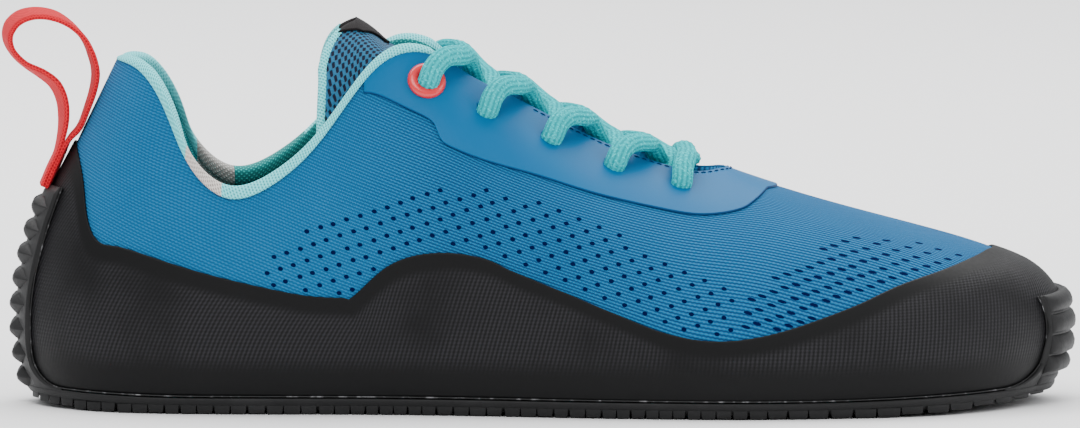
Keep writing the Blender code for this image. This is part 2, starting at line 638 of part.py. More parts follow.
def outsole():
    """Plate with bottom lugs, the lugged heel strip and the ribbed toe strip, in one piece."""
    rand_out = GAP + RAND_WALL
    seat = rand_out + GAP
    in_heel = np.minimum(RING, 2 - RING) <= SIDE[1] + 1e-9
    in_toe = np.abs(RING - 1) <= 1 - SIDE[-3] + 1e-9
    strip = in_heel | in_toe
    out = np.where(strip, seat + STRIP_WALL, seat + SOLE_LEDGE)
    top_in = level_ring(np.full(COUNT, seat), -GAP)
    top_out = level_ring(out, -GAP)
    side = level_ring(out - 0.0002, -GAP - SOLE_PLATE * 0.5)
    under = level_ring(out - SOLE_ROUND, 0)
    toe_rise = np.clip((under[:, 0] - (0.93 * LAST_LENGTH - HEEL_REST)) / (0.06 * LAST_LENGTH), 0, 1)
    under[:, 2] = LUG_HEIGHT + toe_rise * 0.0008
    points = list(np.concatenate([top_in, top_out, side, under]))
    rings = [list(range(k * COUNT, (k + 1) * COUNT)) for k in range(4)]
    faces = []
    for low, high in ((1, 2), (2, 3)):
        for i in range(COUNT):
            n = (i + 1) % COUNT
            faces.append((rings[low][i], rings[low][n], rings[high][n], rings[high][i]))
    squares = []
    plate(rings[0], (0, 0.5, 1), points, faces, [])
    plate(rings[3], LUG_COLUMNS, points, faces, squares)
    strips = {}
    for start, stop, rows, height in (
            (-1, 1, HEEL_LUG_ROWS, HEEL_STRIP_HEIGHT), (HALF - 2, HALF + 2, TOE_RIB_ROWS, TOE_STRIP_HEIGHT)):
        columns = [k % COUNT for k in range(start, stop + 1)]
        middle = RING[columns[len(columns) // 2]]
        seats = int(np.sum(rand_levels(middle) < rise_to(middle, height, seat) - 0.02))
        raised = []
        for k in columns:
            levels = [rise_to(RING[k], height * r / rows, seat) for r in range(1, rows + 1)]
            spare = 0.01 * np.arange(seats - 1, 0, -1)
            backing = list(np.minimum(rand_levels(RING[k])[1:seats], levels[-1] - spare)) + levels[-1:]
            inner = [skin(RING[k], v, np.array(seat)) for v in backing]
            outer = [skin(RING[k], v, np.array(seat + STRIP_WALL)) for v in levels]
            first = len(points)
            points.extend(inner + outer)
            raised.append(([rings[0][k]] + list(range(first, first + seats)),
                           [rings[1][k]] + list(range(first + seats, first + seats + rows))))
        for (in_a, out_a), (in_b, out_b) in zip(raised[:-1], raised[1:]):
            for r in range(rows):
                strips.setdefault(rows, []).append(len(faces))
                faces.append((out_a[r], out_b[r], out_b[r + 1], out_a[r + 1]))
            for r in range(seats):
                faces.append((in_a[r], in_a[r + 1], in_b[r + 1], in_b[r]))
            faces.append((in_a[-1], out_a[-1], out_b[-1], in_b[-1]))
        for inner, outer in (raised[0], raised[-1]):
            faces.append(tuple(inner + outer[::-1]))
    covered = {k % COUNT for k in (-1, 0)} | {HALF - 2, HALF - 1, HALF, HALF + 1}
    for i in range(COUNT):
        if i not in covered:
            n = (i + 1) % COUNT
            faces.append((rings[0][i], rings[0][n], rings[1][n], rings[1][i]))
    for face, row, column in squares:
        if (row + column) % 2 == 0 or column in (0, len(LUG_COLUMNS) - 2) and row % 3 != 0:
            lowered = np.array([0, 0, -LUG_HEIGHT])
            raise_lug(points, faces, face, lowered, 0.72)
    for rows, lug in ((HEEL_LUG_ROWS, HEEL_LUG), (TOE_RIB_ROWS, TOE_RIB)):
        for face in strips[rows]:
            a, b, c, d = (points[k] for k in faces[face])
            normal = unit(np.cross(b - a, d - a))
            centre = np.array([LAST_LENGTH / 2 - HEEL_REST, 0, 0])
            if np.dot(normal, a - centre) < 0:
                normal = -normal
            raise_lug(points, faces, face, normal * lug, 0.55)
    return make("outsole", "rubber", points, faces, smooth=False)


def insole():
    """Flat footbed that follows the inside of the upper at the foot line."""
    clear = -(UPPER_WALL + GAP)
    low = level_ring(np.full(COUNT, clear), 0)
    high = level_ring(np.full(COUNT, clear - 0.0002), INSOLE_WALL)
    points = list(np.concatenate([low, high]))
    rings = [list(range(COUNT)), list(range(COUNT, 2 * COUNT))]
    faces = [(i, (i + 1) % COUNT, COUNT + (i + 1) % COUNT, COUNT + i) for i in range(COUNT)]
    plate(rings[0], (0, 0.5, 1), points, faces, [])
    plate(rings[1], (0, 0.25, 0.5, 0.75, 1), points, faces, [])
    return make("insole", "foam", points, faces)


def hole_place(share):
    """s and v on the outer side where a lace hole lies."""
    x = share * LAST_LENGTH - HEEL_REST
    low, high = knot_of("waist"), knot_of("toe_quarter")
    for _ in range(30):
        middle = (low + high) / 2
        if bare(np.array(middle), np.array(drop_to(middle, HOLE_INSET)))[0] < x:
            low = middle
        else:
            high = middle
    return low, drop_to(low, HOLE_INSET)


def tube(path, radius, sides=TUBE_SIDES):
    """Rings of points round a path."""
    path = np.asarray(path)
    ahead = unit(np.gradient(path, axis=0))
    rings = []
    side = unit(np.cross(ahead[0], [0.0, 0.0, 1.0]))
    for point, direction in zip(path, ahead):
        side = unit(side - direction * np.dot(side, direction))
        other = np.cross(direction, side)
        angles = np.arange(sides) * 2 * math.pi / sides
        rings.append([point + radius * (math.cos(a) * side + math.sin(a) * other) for a in angles])
    return rings


def mirror_s(points, outer_first):
    """Points as (s, w) for a strand that starts on the outer or the inner side."""
    return points if outer_first else [(s, -w, h) for s, w, h in points]


def strand_path(here, there, over, outer_first):
    """Axis of one strand from a hole across to the far edge beside the next hole."""
    points = []
    for share, w, low, high in STRAND:
        points.append((here + (there - here) * share, w, (high if over else low) * LACE_DIAMETER))
    points = mirror_s(points, outer_first)
    line = [instep(np.array(s), np.array(w), np.array(h)) for s, w, h in points]
    return smooth_line(line, 2)


def union(first, second):
    """Joins the second solid into the first and removes it."""
    modifier = first.modifiers.new("join", "BOOLEAN")
    modifier.operation = "UNION"
    modifier.solver = "EXACT"
    modifier.object = second
    apply_modifiers(first)
    bpy.data.objects.remove(second)


def apply_modifiers(obj):
    graph = bpy.context.evaluated_depsgraph_get()
    mesh = bpy.data.meshes.new_from_object(obj.evaluated_get(graph))
    obj.modifiers.clear()
    obj.data = mesh


def laces():
    places = [hole_place(share)[0] for share in LACE_HOLES]
    for k, here in enumerate(places[:-1]):
        reach = LAST_REACH if k == len(places) - 2 else 1.0
        there = here + (places[k + 1] - here) * reach
        under = tube(strand_path(here, there, False, True), LACE_DIAMETER / 2)
        over = tube(strand_path(here, there, True, False), LACE_DIAMETER / 2)
        union(sweep(f"lace_cross_{k + 1}", "lace", under), sweep("strand", "lace", over))
    s = places[4]
    bar = [instep(np.array(s + BAR_BOW * (1 - abs(w) / 2)), np.array(w), np.array(h * LACE_DIAMETER)) for w, h in BAR]
    sweep("lace_bar_5", "lace", tube(smooth_line(bar, 2), LACE_DIAMETER / 2))


def local_frame(s, v):
    """Point on the skin with its outward normal and two tangents."""
    point = bare(np.array(s), np.array(v))
    normal = unit(skin(np.array(s), np.array(v), np.array(1e-3)) - point)
    side = unit(np.cross(normal, [0.0, 0.0, 1.0]))
    return point, normal, side, np.cross(normal, side)


def lathe(place, profile, segments, name, stuff):
    """Closed ring turned from (radius, height) pairs about the local normal."""
    point, normal, side, other = place
    rings = []
    for k in range(segments):
        angle = 2 * math.pi * k / segments
        spoke = math.cos(angle) * side + math.sin(angle) * other
        rings.append([point + spoke * r + normal * h for r, h in profile])
    return sweep(name, stuff, rings, closed=True)


def eyelets():
    s, v = hole_place(LACE_HOLES[0])
    low = STAY_GAP + STAY_WALL + GAP + 0.0002
    bore, outer = EYELET_BORE / 2, EYELET_OUTER / 2
    profile = ((bore, low + EYELET_FLANGE * 0.7), (bore + 0.0008, low + EYELET_FLANGE),
               (outer - 0.0010, low + EYELET_FLANGE * 0.9), (outer, low + EYELET_FLANGE * 0.3), (outer, low),
               (bore + EYELET_TUBE, low), (bore + EYELET_TUBE, -UPPER_WALL * 0.9), (bore, -UPPER_WALL * 0.9))
    for name, place in (("eyelet_lateral", s), ("eyelet_medial", 2 - s)):
        lathe(local_frame(place, v), profile, 14, name, "eyelet")


def punch(pieces):
    """Cuts the lace holes through upper and eyestay."""
    cutters = []
    for number, share in enumerate(LACE_HOLES):
        s, v = hole_place(share)
        radius = EYELET_BORE / 2 + EYELET_TUBE + GAP if number == 0 else LACE_HOLE / 2
        for place in (s, 2 - s):
            point, normal, side, other = local_frame(place, v)
            path = [point - normal * 0.005, point + normal * 0.005]
            rings = []
            for centre in path:
                angles = np.arange(12) * math.pi / 6
                rings.append([centre + radius * (math.cos(a) * side + math.sin(a) * other) for a in angles])
            cutters.append(sweep("punch", "rubber", rings))
    for piece in pieces:
        for cutter in cutters:
            modifier = piece.modifiers.new("hole", "BOOLEAN")
            modifier.operation = "DIFFERENCE"
            modifier.solver = "EXACT"
            modifier.object = cutter
        apply_modifiers(piece)
    for cutter in cutters:
        bpy.data.objects.remove(cutter)


def pull_loop():
    """Flat webbing bent into an upright loop, both ends on the rand above the heel strip."""
    offset = GAP + RAND_WALL + GAP + LOOP_THICKNESS / 2 + 0.0002
    shares = (0.0, 0.5, 1.0)
    levels = [rise_to(0.0, HEEL_STRIP_HEIGHT + 0.0022 + share * 0.016, offset) for share in shares]
    front = [skin(0.0, v, np.array(offset)) for v in levels]
    back = [skin(0.0, v, np.array(offset + LOOP_THICKNESS + GAP)) for v in levels]
    free = [(along * LAST_LENGTH - HEEL_REST, 0, up * COLLAR_HEIGHT) for along, up, twist in PULL_LOOP]
    line = back + [np.array(p) for p in free] + front[::-1]
    twists = [0, 0, 0] + [twist for along, up, twist in PULL_LOOP] + [0, 0, 0]
    path = smooth_line(line, 1)
    turn = np.interp(np.arange(len(path)), np.arange(len(twists)), twists)
    ahead = unit(np.gradient(path, axis=0))
    rings = []
    for point, direction, degrees in zip(path, ahead, np.radians(turn)):
        across = np.array([0.0, 1.0, 0.0])
        face = np.cross(direction, across)
        across, face = (across * math.cos(degrees) + face * math.sin(degrees),
                        face * math.cos(degrees) - across * math.sin(degrees))
        a, b = across * LOOP_WIDTH / 2, face * LOOP_THICKNESS / 2
        rings.append([point + a + b * 0.6, point + a * 0.93 + b, point - a * 0.93 + b, point - a + b * 0.6,
                      point - a - b * 0.6, point - a * 0.93 - b, point + a * 0.93 - b, point + a - b * 0.6])
    return sweep("pull_loop", "webbing", rings)


def build():
    for obj in list(bpy.data.objects):
        bpy.data.objects.remove(obj)
    outsole()
    insole()
    body = upper()
    rand()
    stay = eyestay()
    punch((body, stay))
    collar_binding()
    tongue()
    tongue_label()
    laces()
    eyelets()
    pull_loop()


build()
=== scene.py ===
"""Looks of the barefoot running shoe, built over its fixed CAD frame.

The skin of the last is the same closed spline of ribs as in the solids, sampled finely here.
World frame: toe +X, outer side -Y, Z up, origin on the floor under the heel.
"""
import math

import bmesh
import bpy
import numpy as np
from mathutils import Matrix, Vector


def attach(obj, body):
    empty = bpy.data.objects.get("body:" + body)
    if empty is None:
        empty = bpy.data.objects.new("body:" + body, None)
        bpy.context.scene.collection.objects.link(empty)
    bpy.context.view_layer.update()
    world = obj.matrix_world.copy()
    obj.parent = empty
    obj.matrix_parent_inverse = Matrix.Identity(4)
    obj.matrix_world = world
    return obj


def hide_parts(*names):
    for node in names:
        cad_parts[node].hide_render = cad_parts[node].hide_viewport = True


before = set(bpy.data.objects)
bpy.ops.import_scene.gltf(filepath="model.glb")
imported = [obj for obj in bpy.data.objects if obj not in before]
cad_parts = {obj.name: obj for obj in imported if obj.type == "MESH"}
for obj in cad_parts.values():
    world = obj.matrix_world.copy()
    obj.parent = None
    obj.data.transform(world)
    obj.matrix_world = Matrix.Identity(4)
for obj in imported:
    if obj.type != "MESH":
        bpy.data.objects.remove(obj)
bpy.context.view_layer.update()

LAST_LENGTH = 0.2712
BALL_WIDTH = 0.1040
COLLAR_HEIGHT = 0.0912
HEEL_REST = 0.0425

GAP = 0.0003
UPPER_WALL = 0.0022
RAND_WALL = 0.0010
STAY_WALL = 0.0007
STAY_GAP = 0.00045
BINDING_WALL = 0.0009
BINDING_GAP = 0.0008
TONGUE_TUCK = 1.9
TONGUE_TOE_RUN = 0.014
INSOLE_WALL = 0.0030

LUG_HEIGHT = 0.0019
SOLE_PLATE = 0.0024
SOLE_LEDGE = 0.0007
SOLE_ROUND = 0.0022
TOE_SPRING = 0.0020
STRIP_WALL = 0.0014
HEEL_STRIP_WIDTH = 0.0190
HEEL_STRIP_HEIGHT = 0.0535
HEEL_LUG = 0.0027
HEEL_LUG_PITCH = 0.0065
HEEL_LUG_START = -0.0016
HEEL_FILLET = (0.0120, 0.0080)
HEEL_LUG_ROWS = 8
TOE_STRIP_WIDTH = 0.0330
TOE_STRIP_HEIGHT = 0.0250
TOE_FILLET = (0.0150, 0.0075)
TOE_SWELL = 0.0021
BINDING_END_X = 0.0675

LACE_WIDTH = 0.0056
LACE_DEPTH = 0.0043
LACE_HOLE = 0.0048
HOLE_INSET = 0.0098
EYELET_OUTER = 0.0102
EYELET_BORE = 0.0044
EYELET_FLANGE = 0.0014
EYELET_TUBE = 0.0006
LOOP_WIDTH = 0.0105
LOOP_THICKNESS = 0.0015
LACE_RIBS = 12
STAY_RISE = 0.0006
KNIT_ROW = 0.00092
KNIT_STITCH = 0.00112
RIDGE_ROUND = 0.0013        # how softly the knit's lines turn over the vamp's ridge
GREY_BACK_X = 0.0012        # the grey strip of the lining on the far side
GREY_FRONT_X = 0.0112
RIM_FLOOR = 0.0008          # how far the sole's rim stays off the floor

SIDE_FINE = 260             # ribs on each side in the fine meshes
HALF_BALL = BALL_WIDTH / 2
FOOT_HEIGHT = LUG_HEIGHT + SOLE_PLATE + GAP

# Camera: one photo pixel in metres, elevation, and the world x under the picture's middle column.
PHOTO_WIDTH = 1080
PHOTO_HEIGHT = 428
PIXEL = 0.0002644
ELEVATION = math.radians(5.0)
MIDDLE_X = 0.0923
MIDDLE_UP = (416 - 214) * PIXEL - 0.045 * math.sin(ELEVATION)
VIEW_UP = np.array([0.0, math.sin(ELEVATION), math.cos(ELEVATION)])
LENS = 500.0
SENSOR = 36.0

# name, along, outer, inner, rise, bulge, lift, reach, drop, edge_along, edge_side, edge_up
RIBS = (
    ("heel", 0.008, 0.000, 0.000, 0.55, 0.185, 0.311, 0.265, 0.320, 0.086, 0.000, 1.000),
    ("heel_quarter", 0.037, -0.365, 0.346, 0.35, 0.135, 0.296, 0.212, 0.318, 0.111, 0.279, 0.987),
    ("heel_side", 0.087, -0.558, 0.529, 0.15, 0.087, 0.274, 0.135, 0.285, 0.138, 0.442, 0.878),
    ("ankle_back", 0.146, -0.635, 0.596, 0.00, 0.077, 0.241, 0.096, 0.219, 0.160, 0.548, 0.730),
    ("ankle", 0.197, -0.658, 0.602, 0.00, 0.077, 0.219, 0.087, 0.186, 0.195, 0.596, 0.645),
    ("ankle_front", 0.256, -0.665, 0.577, 0.00, 0.077, 0.219, 0.096, 0.197, 0.239, 0.615, 0.684),
    ("waist", 0.323, -0.673, 0.554, 0.00, 0.087, 0.241, 0.115, 0.241, 0.284, 0.567, 0.803),
    ("collar_front", 0.378, -0.702, 0.554, 0.00, 0.087, 0.274, 0.163, 0.263, 0.322, 0.471, 0.953),
    ("corner", 0.426, -0.740, 0.577, 0.00, 0.096, 0.296, 0.231, 0.241, 0.356, 0.375, 1.037),
    ("throat_top", 0.466, -0.779, 0.625, 0.00, 0.096, 0.307, 0.288, 0.186, 0.387, 0.327, 1.035),
    ("throat_upper", 0.518, -0.837, 0.702, 0.00, 0.106, 0.307, 0.327, 0.143, 0.426, 0.298, 0.965),
    ("instep", 0.573, -0.885, 0.779, 0.00, 0.115, 0.296, 0.365, 0.121, 0.474, 0.279, 0.891),
    ("throat_lower", 0.640, -0.929, 0.865, 0.00, 0.125, 0.285, 0.385, 0.099, 0.548, 0.250, 0.777),
    ("ball", 0.713, -0.938, 0.938, 0.00, 0.135, 0.263, 0.423, 0.088, 0.614, 0.221, 0.700),
    ("toe_side", 0.795, -0.875, 0.942, 0.05, 0.144, 0.263, 0.519, 0.099, 0.651, 0.163, 0.674),
    ("toe_quarter", 0.876, -0.745, 0.850, 0.30, 0.163, 0.274, 0.731, 0.154, 0.670, 0.090, 0.679),
    ("toe_corner", 0.938, -0.470, 0.660, 0.45, 0.260, 0.345, 1.000, 0.212, 0.676, 0.042, 0.679),
    ("toe", 0.981, 0.115, 0.115, 0.68, 0.419, 0.425, 1.170, 0.250, 0.677, 0.000, 0.679),
)

RAND_WAVE = (
    (0.042, 0.768), (0.051, 0.669), (0.057, 0.550), (0.069, 0.490), (0.097, 0.474),
    (0.173, 0.408), (0.261, 0.350), (0.306, 0.339), (0.315, 0.340), (0.346, 0.423),
    (0.371, 0.458), (0.396, 0.470), (0.421, 0.468), (0.447, 0.452), (0.470, 0.421),
    (0.521, 0.362), (0.570, 0.303), (0.620, 0.248), (0.669, 0.228), (0.725, 0.251),
    (0.795, 0.319), (0.843, 0.379), (0.889, 0.420), (0.913, 0.442), (0.932, 0.458),
)

STAY_EDGE = (
    (0.324, 0.923), (0.341, 0.914), (0.368, 0.878), (0.393, 0.840), (0.401, 0.792),
    (0.411, 0.770), (0.445, 0.732), (0.498, 0.689), (0.551, 0.640), (0.603, 0.603),
    (0.642, 0.581), (0.668, 0.579), (0.692, 0.590), (0.705, 0.609), (0.719, 0.638),
)

LACE_HOLES = (0.387, 0.444, 0.506, 0.567, 0.633)

CROWN = (
    ("waist", 0.640), ("collar_front", 0.360), ("corner", 0.085), ("throat_top", -0.015),
    ("throat_upper", -0.035), ("instep", -0.035), ("throat_lower", -0.030), ("ball", -0.015),
    ("toe_side", 0.006), ("toe", 0.0),
)

# Middle line of the loop's band in photo pixels, with its twist in degrees, from its back limb round.
PULL_LOOP = (
    (57.5, 153, 5), (62.5, 134, 9), (64.5, 117, 13), (63, 100, 15), (56, 84.5, 16), (43, 74, 14),
    (26, 64.5, 8), (13.5, 52, 8), (8.5, 39, 12), (11, 27, 15), (21, 17.5, 13), (37, 13.5, 9), (55, 16, 6),
    (71.5, 25, 0), (85, 39, -6), (92.5, 55, -9), (96.5, 72, -9), (94, 90, -7), (88, 108, -5), (80.5, 127, -3),
)

# Flat ribs across the toe web: lower and upper limit up the toe in mm, and how far they stand out.
TOE_RIBS = ((-0.6, 2.6, 0.7), (3.0, 8.7, 2.3), (8.9, 14.3, 2.0), (14.5, 19.7, 1.6), (19.9, 24.8, 1.4))

# One strand: share of the way to the next holes, place across (-1 near edge, +1 far edge),
# height of the axis above the skin in mm when it runs under, and when it runs over.
STRAND = (
    (-0.02, -2.24, -3.4, -3.4),
    (0.00, -2.24, -0.6, -0.6),
    (0.02, -2.16, 2.2, 2.2),
    (0.08, -1.86, 4.2, 4.2),
    (0.25, -1.40, 5.1, 5.1),
    (0.55, -0.96, 4.5, 4.7),
    (0.84, -0.50, 0.8, 4.3),
    (1.02, 0.00, -1.8, 3.0),
    (1.08, 0.34, -2.0, 1.6),
    (1.11, 0.60, -2.3, -0.4),
    (1.11, 0.90, -3.1, -2.6),
    (1.08, 1.30, -3.3, -3.3),
    (1.03, 1.80, -3.4, -3.4),
    (1.00, 2.24, -3.4, -3.4),
)

BAR = (
    (-2.24, -3.4), (-2.24, -0.6), (-2.18, 2.0), (-1.85, 3.9), (-1.45, 4.6), (-0.95, 4.2), (-0.45, 3.2),
    (0.0, 2.8), (0.45, 3.2), (0.95, 4.2), (1.45, 4.6), (1.85, 3.9), (2.18, 2.0), (2.24, -0.6), (2.24, -3.4),
)
BAR_BOW = 0.034
LAST_REACH = 0.86

# Rows of knitted perforations, in photo pixels: a dot to start from, two steps, a dot's half size
# in mm, and the outline of the field that they fill.
DOT_FIELDS = (
    ((487.2, 190.7), (-13.2, 4.1), (6.4, 12.2), 0.62,
     ((258, 285), (272, 254), (285, 242), (340, 217), (388, 199), (440, 188), (489, 188), (560, 208),
      (597, 221), (642, 246), (700, 271), (728, 286), (734, 340), (640, 340), (258, 340))),
    ((795.6, 270.1), (11.2, -3.7), (-2.4, 13.6), 0.74,
     ((738, 290), (760, 284), (790, 269), (826, 244), (862, 235), (900, 238), (945, 250), (985, 262),
      (985, 340), (738, 340))),
)


def unit(vector):
    return vector / np.maximum(np.linalg.norm(vector, axis=-1, keepdims=True), 1e-12)


def run_of(line):
    """Running length along a line, from 0."""
    return np.append(0, np.cumsum(np.linalg.norm(np.diff(line, axis=0), axis=1)))


def across_columns(points):
    """Running length along each row of a grid of points."""
    length = np.cumsum(np.linalg.norm(np.diff(points, axis=1), axis=2), axis=1)
    return np.concatenate([np.zeros((points.shape[0], 1)), length], axis=1)


def along_rows(points, anchor_row):
    """Arc length along the first axis for each column, zero at one row."""
    length = across_columns(points.swapaxes(0, 1)).T
    return length - length[anchor_row]


# The skin of the last.

def rib_frame():
    outer, inner = [], []
    for name, along, out_side, in_side, rise, bulge, lift, reach, drop, ea, es, eu in RIBS:
        lengths = (bulge * HALF_BALL, lift * COLLAR_HEIGHT, reach * HALF_BALL, drop * COLLAR_HEIGHT)
        foot_z = FOOT_HEIGHT + rise * TOE_SPRING
        for side, foot_side, sign in ((outer, out_side, -1), (inner, in_side, 1)):
            foot = (along * LAST_LENGTH - HEEL_REST, foot_side * HALF_BALL, foot_z)
            edge = (ea * LAST_LENGTH - HEEL_REST, sign * es * HALF_BALL, eu * COLLAR_HEIGHT)
            side.append(foot + edge + lengths)
    outer, inner = np.array(outer), np.array(inner)
    steps = np.zeros(len(RIBS))
    for rows in (outer, inner):
        steps[1:] += np.linalg.norm(np.diff(rows[:, :3], axis=0), axis=1) / 4
        steps[1:] += np.linalg.norm(np.diff(rows[:, 3:6], axis=0), axis=1) / 4
    knots = np.cumsum(steps)
    knots /= knots[-1]
    return np.concatenate([knots, 2 - knots[-2:0:-1]]), np.vstack([outer, inner[-2:0:-1]])


def second_derivatives(knots, values, period):
    count = len(knots)
    gaps = np.diff(np.append(knots, knots[0] + period))
    matrix = np.zeros((count, count))
    right = np.zeros_like(values)
    for i in range(count):
        before, after = gaps[i - 1], gaps[i]
        matrix[i, i - 1] += before
        matrix[i, i] += 2 * (before + after)
        matrix[i, (i + 1) % count] += after
        slope_after = (values[(i + 1) % count] - values[i]) / after
        slope_before = (values[i] - values[i - 1]) / before
        right[i] = 6 * (slope_after - slope_before)
    return np.linalg.solve(matrix, right)


KNOTS, ROWS = rib_frame()
BENDS = second_derivatives(KNOTS, ROWS, 2.0)


def around(s):
    s = np.mod(np.asarray(s, float), 2.0)
    ends = np.append(KNOTS, 2.0)
    i = np.clip(np.searchsorted(ends, s, side="right") - 1, 0, len(KNOTS) - 1)
    j = (i + 1) % len(KNOTS)
    gap = (ends[i + 1] - ends[i])[..., None]
    b = (s - ends[i])[..., None] / gap
    a = 1 - b
    curve = ((a ** 3 - a) * BENDS[i] + (b ** 3 - b) * BENDS[j]) * gap ** 2 / 6
    return a * ROWS[i] + b * ROWS[j] + curve


def outward(s):
    step = 1e-3
    run = around(s + step)[..., :3] - around(s - step)[..., :3]
    normal = np.stack([-run[..., 1], run[..., 0], np.zeros_like(run[..., 0])], axis=-1)
    return -unit(normal)


def handles(s):
    row = around(s)
    out = outward(s)
    up = np.array([0.0, 0.0, 1.0])
    foot, edge = row[..., 0:3], row[..., 3:6]
    low = foot + out * row[..., 6:7] + up * row[..., 7:8]
    high = edge + out * row[..., 8:9] - up * row[..., 9:10]
    return foot, low, high, edge


def bare(s, v):
    foot, low, high, edge = handles(s)
    v = np.asarray(v, float)[..., None]
    w = np.minimum(v, 1)
    point = (1 - w) ** 3 * foot + 3 * w * (1 - w) ** 2 * low + 3 * w * w * (1 - w) * high + w ** 3 * edge
    return point + np.maximum(v - 1, 0) * 3 * (edge - high)


def skin(s, v, offset=0.0):
    s, v = np.broadcast_arrays(np.asarray(s, float), np.asarray(v, float))
    step = 2e-3
    along = bare(s + step, v) - bare(s - step, v)
    up = bare(s, v + step) - bare(s, v - step)
    normal = unit(np.cross(along, up))
    normal[..., 2] *= np.clip(v / 0.1, 0, 1)
    offset = np.broadcast_to(np.asarray(offset, float), s.shape)
    return bare(s, v) + unit(normal) * offset[..., None]


def normal_at(s, v):
    return unit(skin(s, v, 1e-3) - skin(s, v, 0.0))


def arc_rows(s, distance, from_edge, offset=0.0):
    """v at a distance up each rib from the foot line, or down each rib from the opening's edge."""
    s = np.atleast_1d(np.asarray(s, float))
    distance = np.broadcast_to(np.asarray(distance, float), s.shape)
    v = np.linspace(1, 0.2, 161) if from_edge else np.linspace(0, 1, 241)
    line = skin(s[:, None], v[None], offset)
    return np.array([np.interp(d, row, v) for d, row in zip(distance, across_columns(line))])


def smooth_line(points, steps):
    """Catmull-Rom curve through given points."""
    points = np.asarray(points, float)
    padded = np.vstack([2 * points[0] - points[1], points, 2 * points[-1] - points[-2]])
    line = []
    for i in range(len(points) - 1):
        a, b, c, d = padded[i:i + 4]
        for t in np.arange(steps) / steps:
            line.append(0.5 * (2 * b + (c - a) * t + (2 * a - 5 * b + 4 * c - d) * t ** 2
                               + (3 * b - a - 3 * c + d) * t ** 3))
    line.append(points[-1])
    return np.array(line)


def height_of(table, x):
    line = smooth_line(table, 6)
    return np.interp(x, line[:, 0] * LAST_LENGTH - HEEL_REST, line[:, 1] * COLLAR_HEIGHT)


def crossing(s, table, offset, downwards=False):
    """v where each rib first meets a drawn edge."""
    s = np.atleast_1d(np.asarray(s, float))
    v = np.linspace(1, 0.05, 191) if downwards else np.linspace(0, 1, 201)
    line = skin(s[:, None], v[None], offset)
    above = line[..., 2] - height_of(table, line[..., 0])
    past = above < 0 if downwards else above > 0
    i = np.argmax(past, axis=1)
    rows = np.arange(len(s))
    k = np.maximum(i, 1)
    share = above[rows, k - 1] / (above[rows, k - 1] - above[rows, k] + 1e-12)
    found = v[k - 1] + np.clip(share, 0, 1) * (v[k] - v[k - 1])
    return np.where(past[rows, i], np.where(i == 0, v[0], found), v[-1])


def knot_of(name):
    names = [row[0] for row in RIBS]
    return float(KNOTS[names.index(name)])


def stay_span():
    s = np.linspace(0, 1, 2001)
    edge = around(s)[:, 3]
    start = STAY_EDGE[0][0] * LAST_LENGTH - HEEL_REST
    rising = s[(edge > start) & (s > 0.2)]
    return float(rising[0]) + 0.004, 2 - float(rising[0]) - 0.004


def ring_stations(count):
    """s round the shoe, evenly along the foot line and the opening together."""
    s = np.linspace(0, 1, 1601)
    length = np.zeros(1601)
    for rows in (around(s), around(2 - s)):
        length += run_of(rows[:, :3]) + run_of(rows[:, 3:6])
    side = np.interp(np.linspace(0, length[-1], count + 1), length, s)
    return np.concatenate([side, 2 - side[-2:0:-1]])


RING = ring_stations(SIDE_FINE)


# Mesh builders.

def make(name, points, faces, uvs=None, tags=None, smooth=True):
    """Mesh object. uvs: {name: per-corner (n, 2)}, tags: material number of each face."""
    mesh = bpy.data.meshes.new(name)
    points = np.asarray(points, np.float32).reshape(-1, 3)
    mesh.from_pydata(points.tolist(), [], [tuple(int(k) for k in f) for f in faces])
    for layer, values in (uvs or {}).items():
        uv = mesh.uv_layers.new(name=layer)
        uv.data.foreach_set("uv", np.asarray(values, np.float32).ravel())
    if tags is not None:
        mesh.polygons.foreach_set("material_index", np.asarray(tags, np.int32))
    mesh.polygons.foreach_set("use_smooth", np.full(len(mesh.polygons), smooth))
    mesh.update()
    obj = bpy.data.objects.new(name, mesh)
    bpy.context.collection.objects.link(obj)
    return obj


def loft(name, rings, closed, uvs=None, tag_of=None, caps=True, smooth=True):
    """Skin through closed sections (rows, sides, 3); uvs hold one more side than the sections,
    and one more row where the loft closes on itself."""
    rings = np.asarray(rings, float)
    rows, sides = rings.shape[:2]
    last = rows if closed else rows - 1
    i, j = np.meshgrid(np.arange(last), np.arange(sides), indexing="ij")
    k, n = (i + 1) % rows, (j + 1) % sides
    faces = np.stack([i * sides + j, k * sides + j, k * sides + n, i * sides + n], axis=-1).reshape(-1, 4)
    corner_i = np.stack([i, i + 1, i + 1, i], axis=-1).reshape(-1, 4)
    corner_j = np.stack([j, j, j + 1, j + 1], axis=-1).reshape(-1, 4)
    faces = [tuple(f) for f in faces.tolist()]
    maps = {}
    for layer, grid in (uvs or {}).items():
        maps[layer] = np.asarray(grid)[corner_i, corner_j].reshape(-1, 2)
    tags = None
    if tag_of is not None:
        tags = np.asarray(tag_of)[i, j].ravel().tolist()
    if caps and not closed:
        for row in (0, rows - 1):
            order = list(range(sides)) if row == 0 else list(range(sides))[::-1]
            faces.append(tuple(row * sides + m for m in order))
            for layer, grid in (uvs or {}).items():
                maps[layer] = np.vstack([maps[layer], np.asarray(grid)[row, order]])
            if tags is not None:
                tags.append(tags[0 if row == 0 else -1])
    obj = make(name, rings.reshape(-1, 3), faces, maps, tags, smooth)
    flip_out(obj)
    return obj


def flip_out(obj):
    """Turns all faces if the closed mesh faces in."""
    bm = bmesh.new()
    bm.from_mesh(obj.data)
    if bm.calc_volume(signed=True) < 0:
        bmesh.ops.reverse_faces(bm, faces=bm.faces)
        bm.to_mesh(obj.data)
    bm.free()


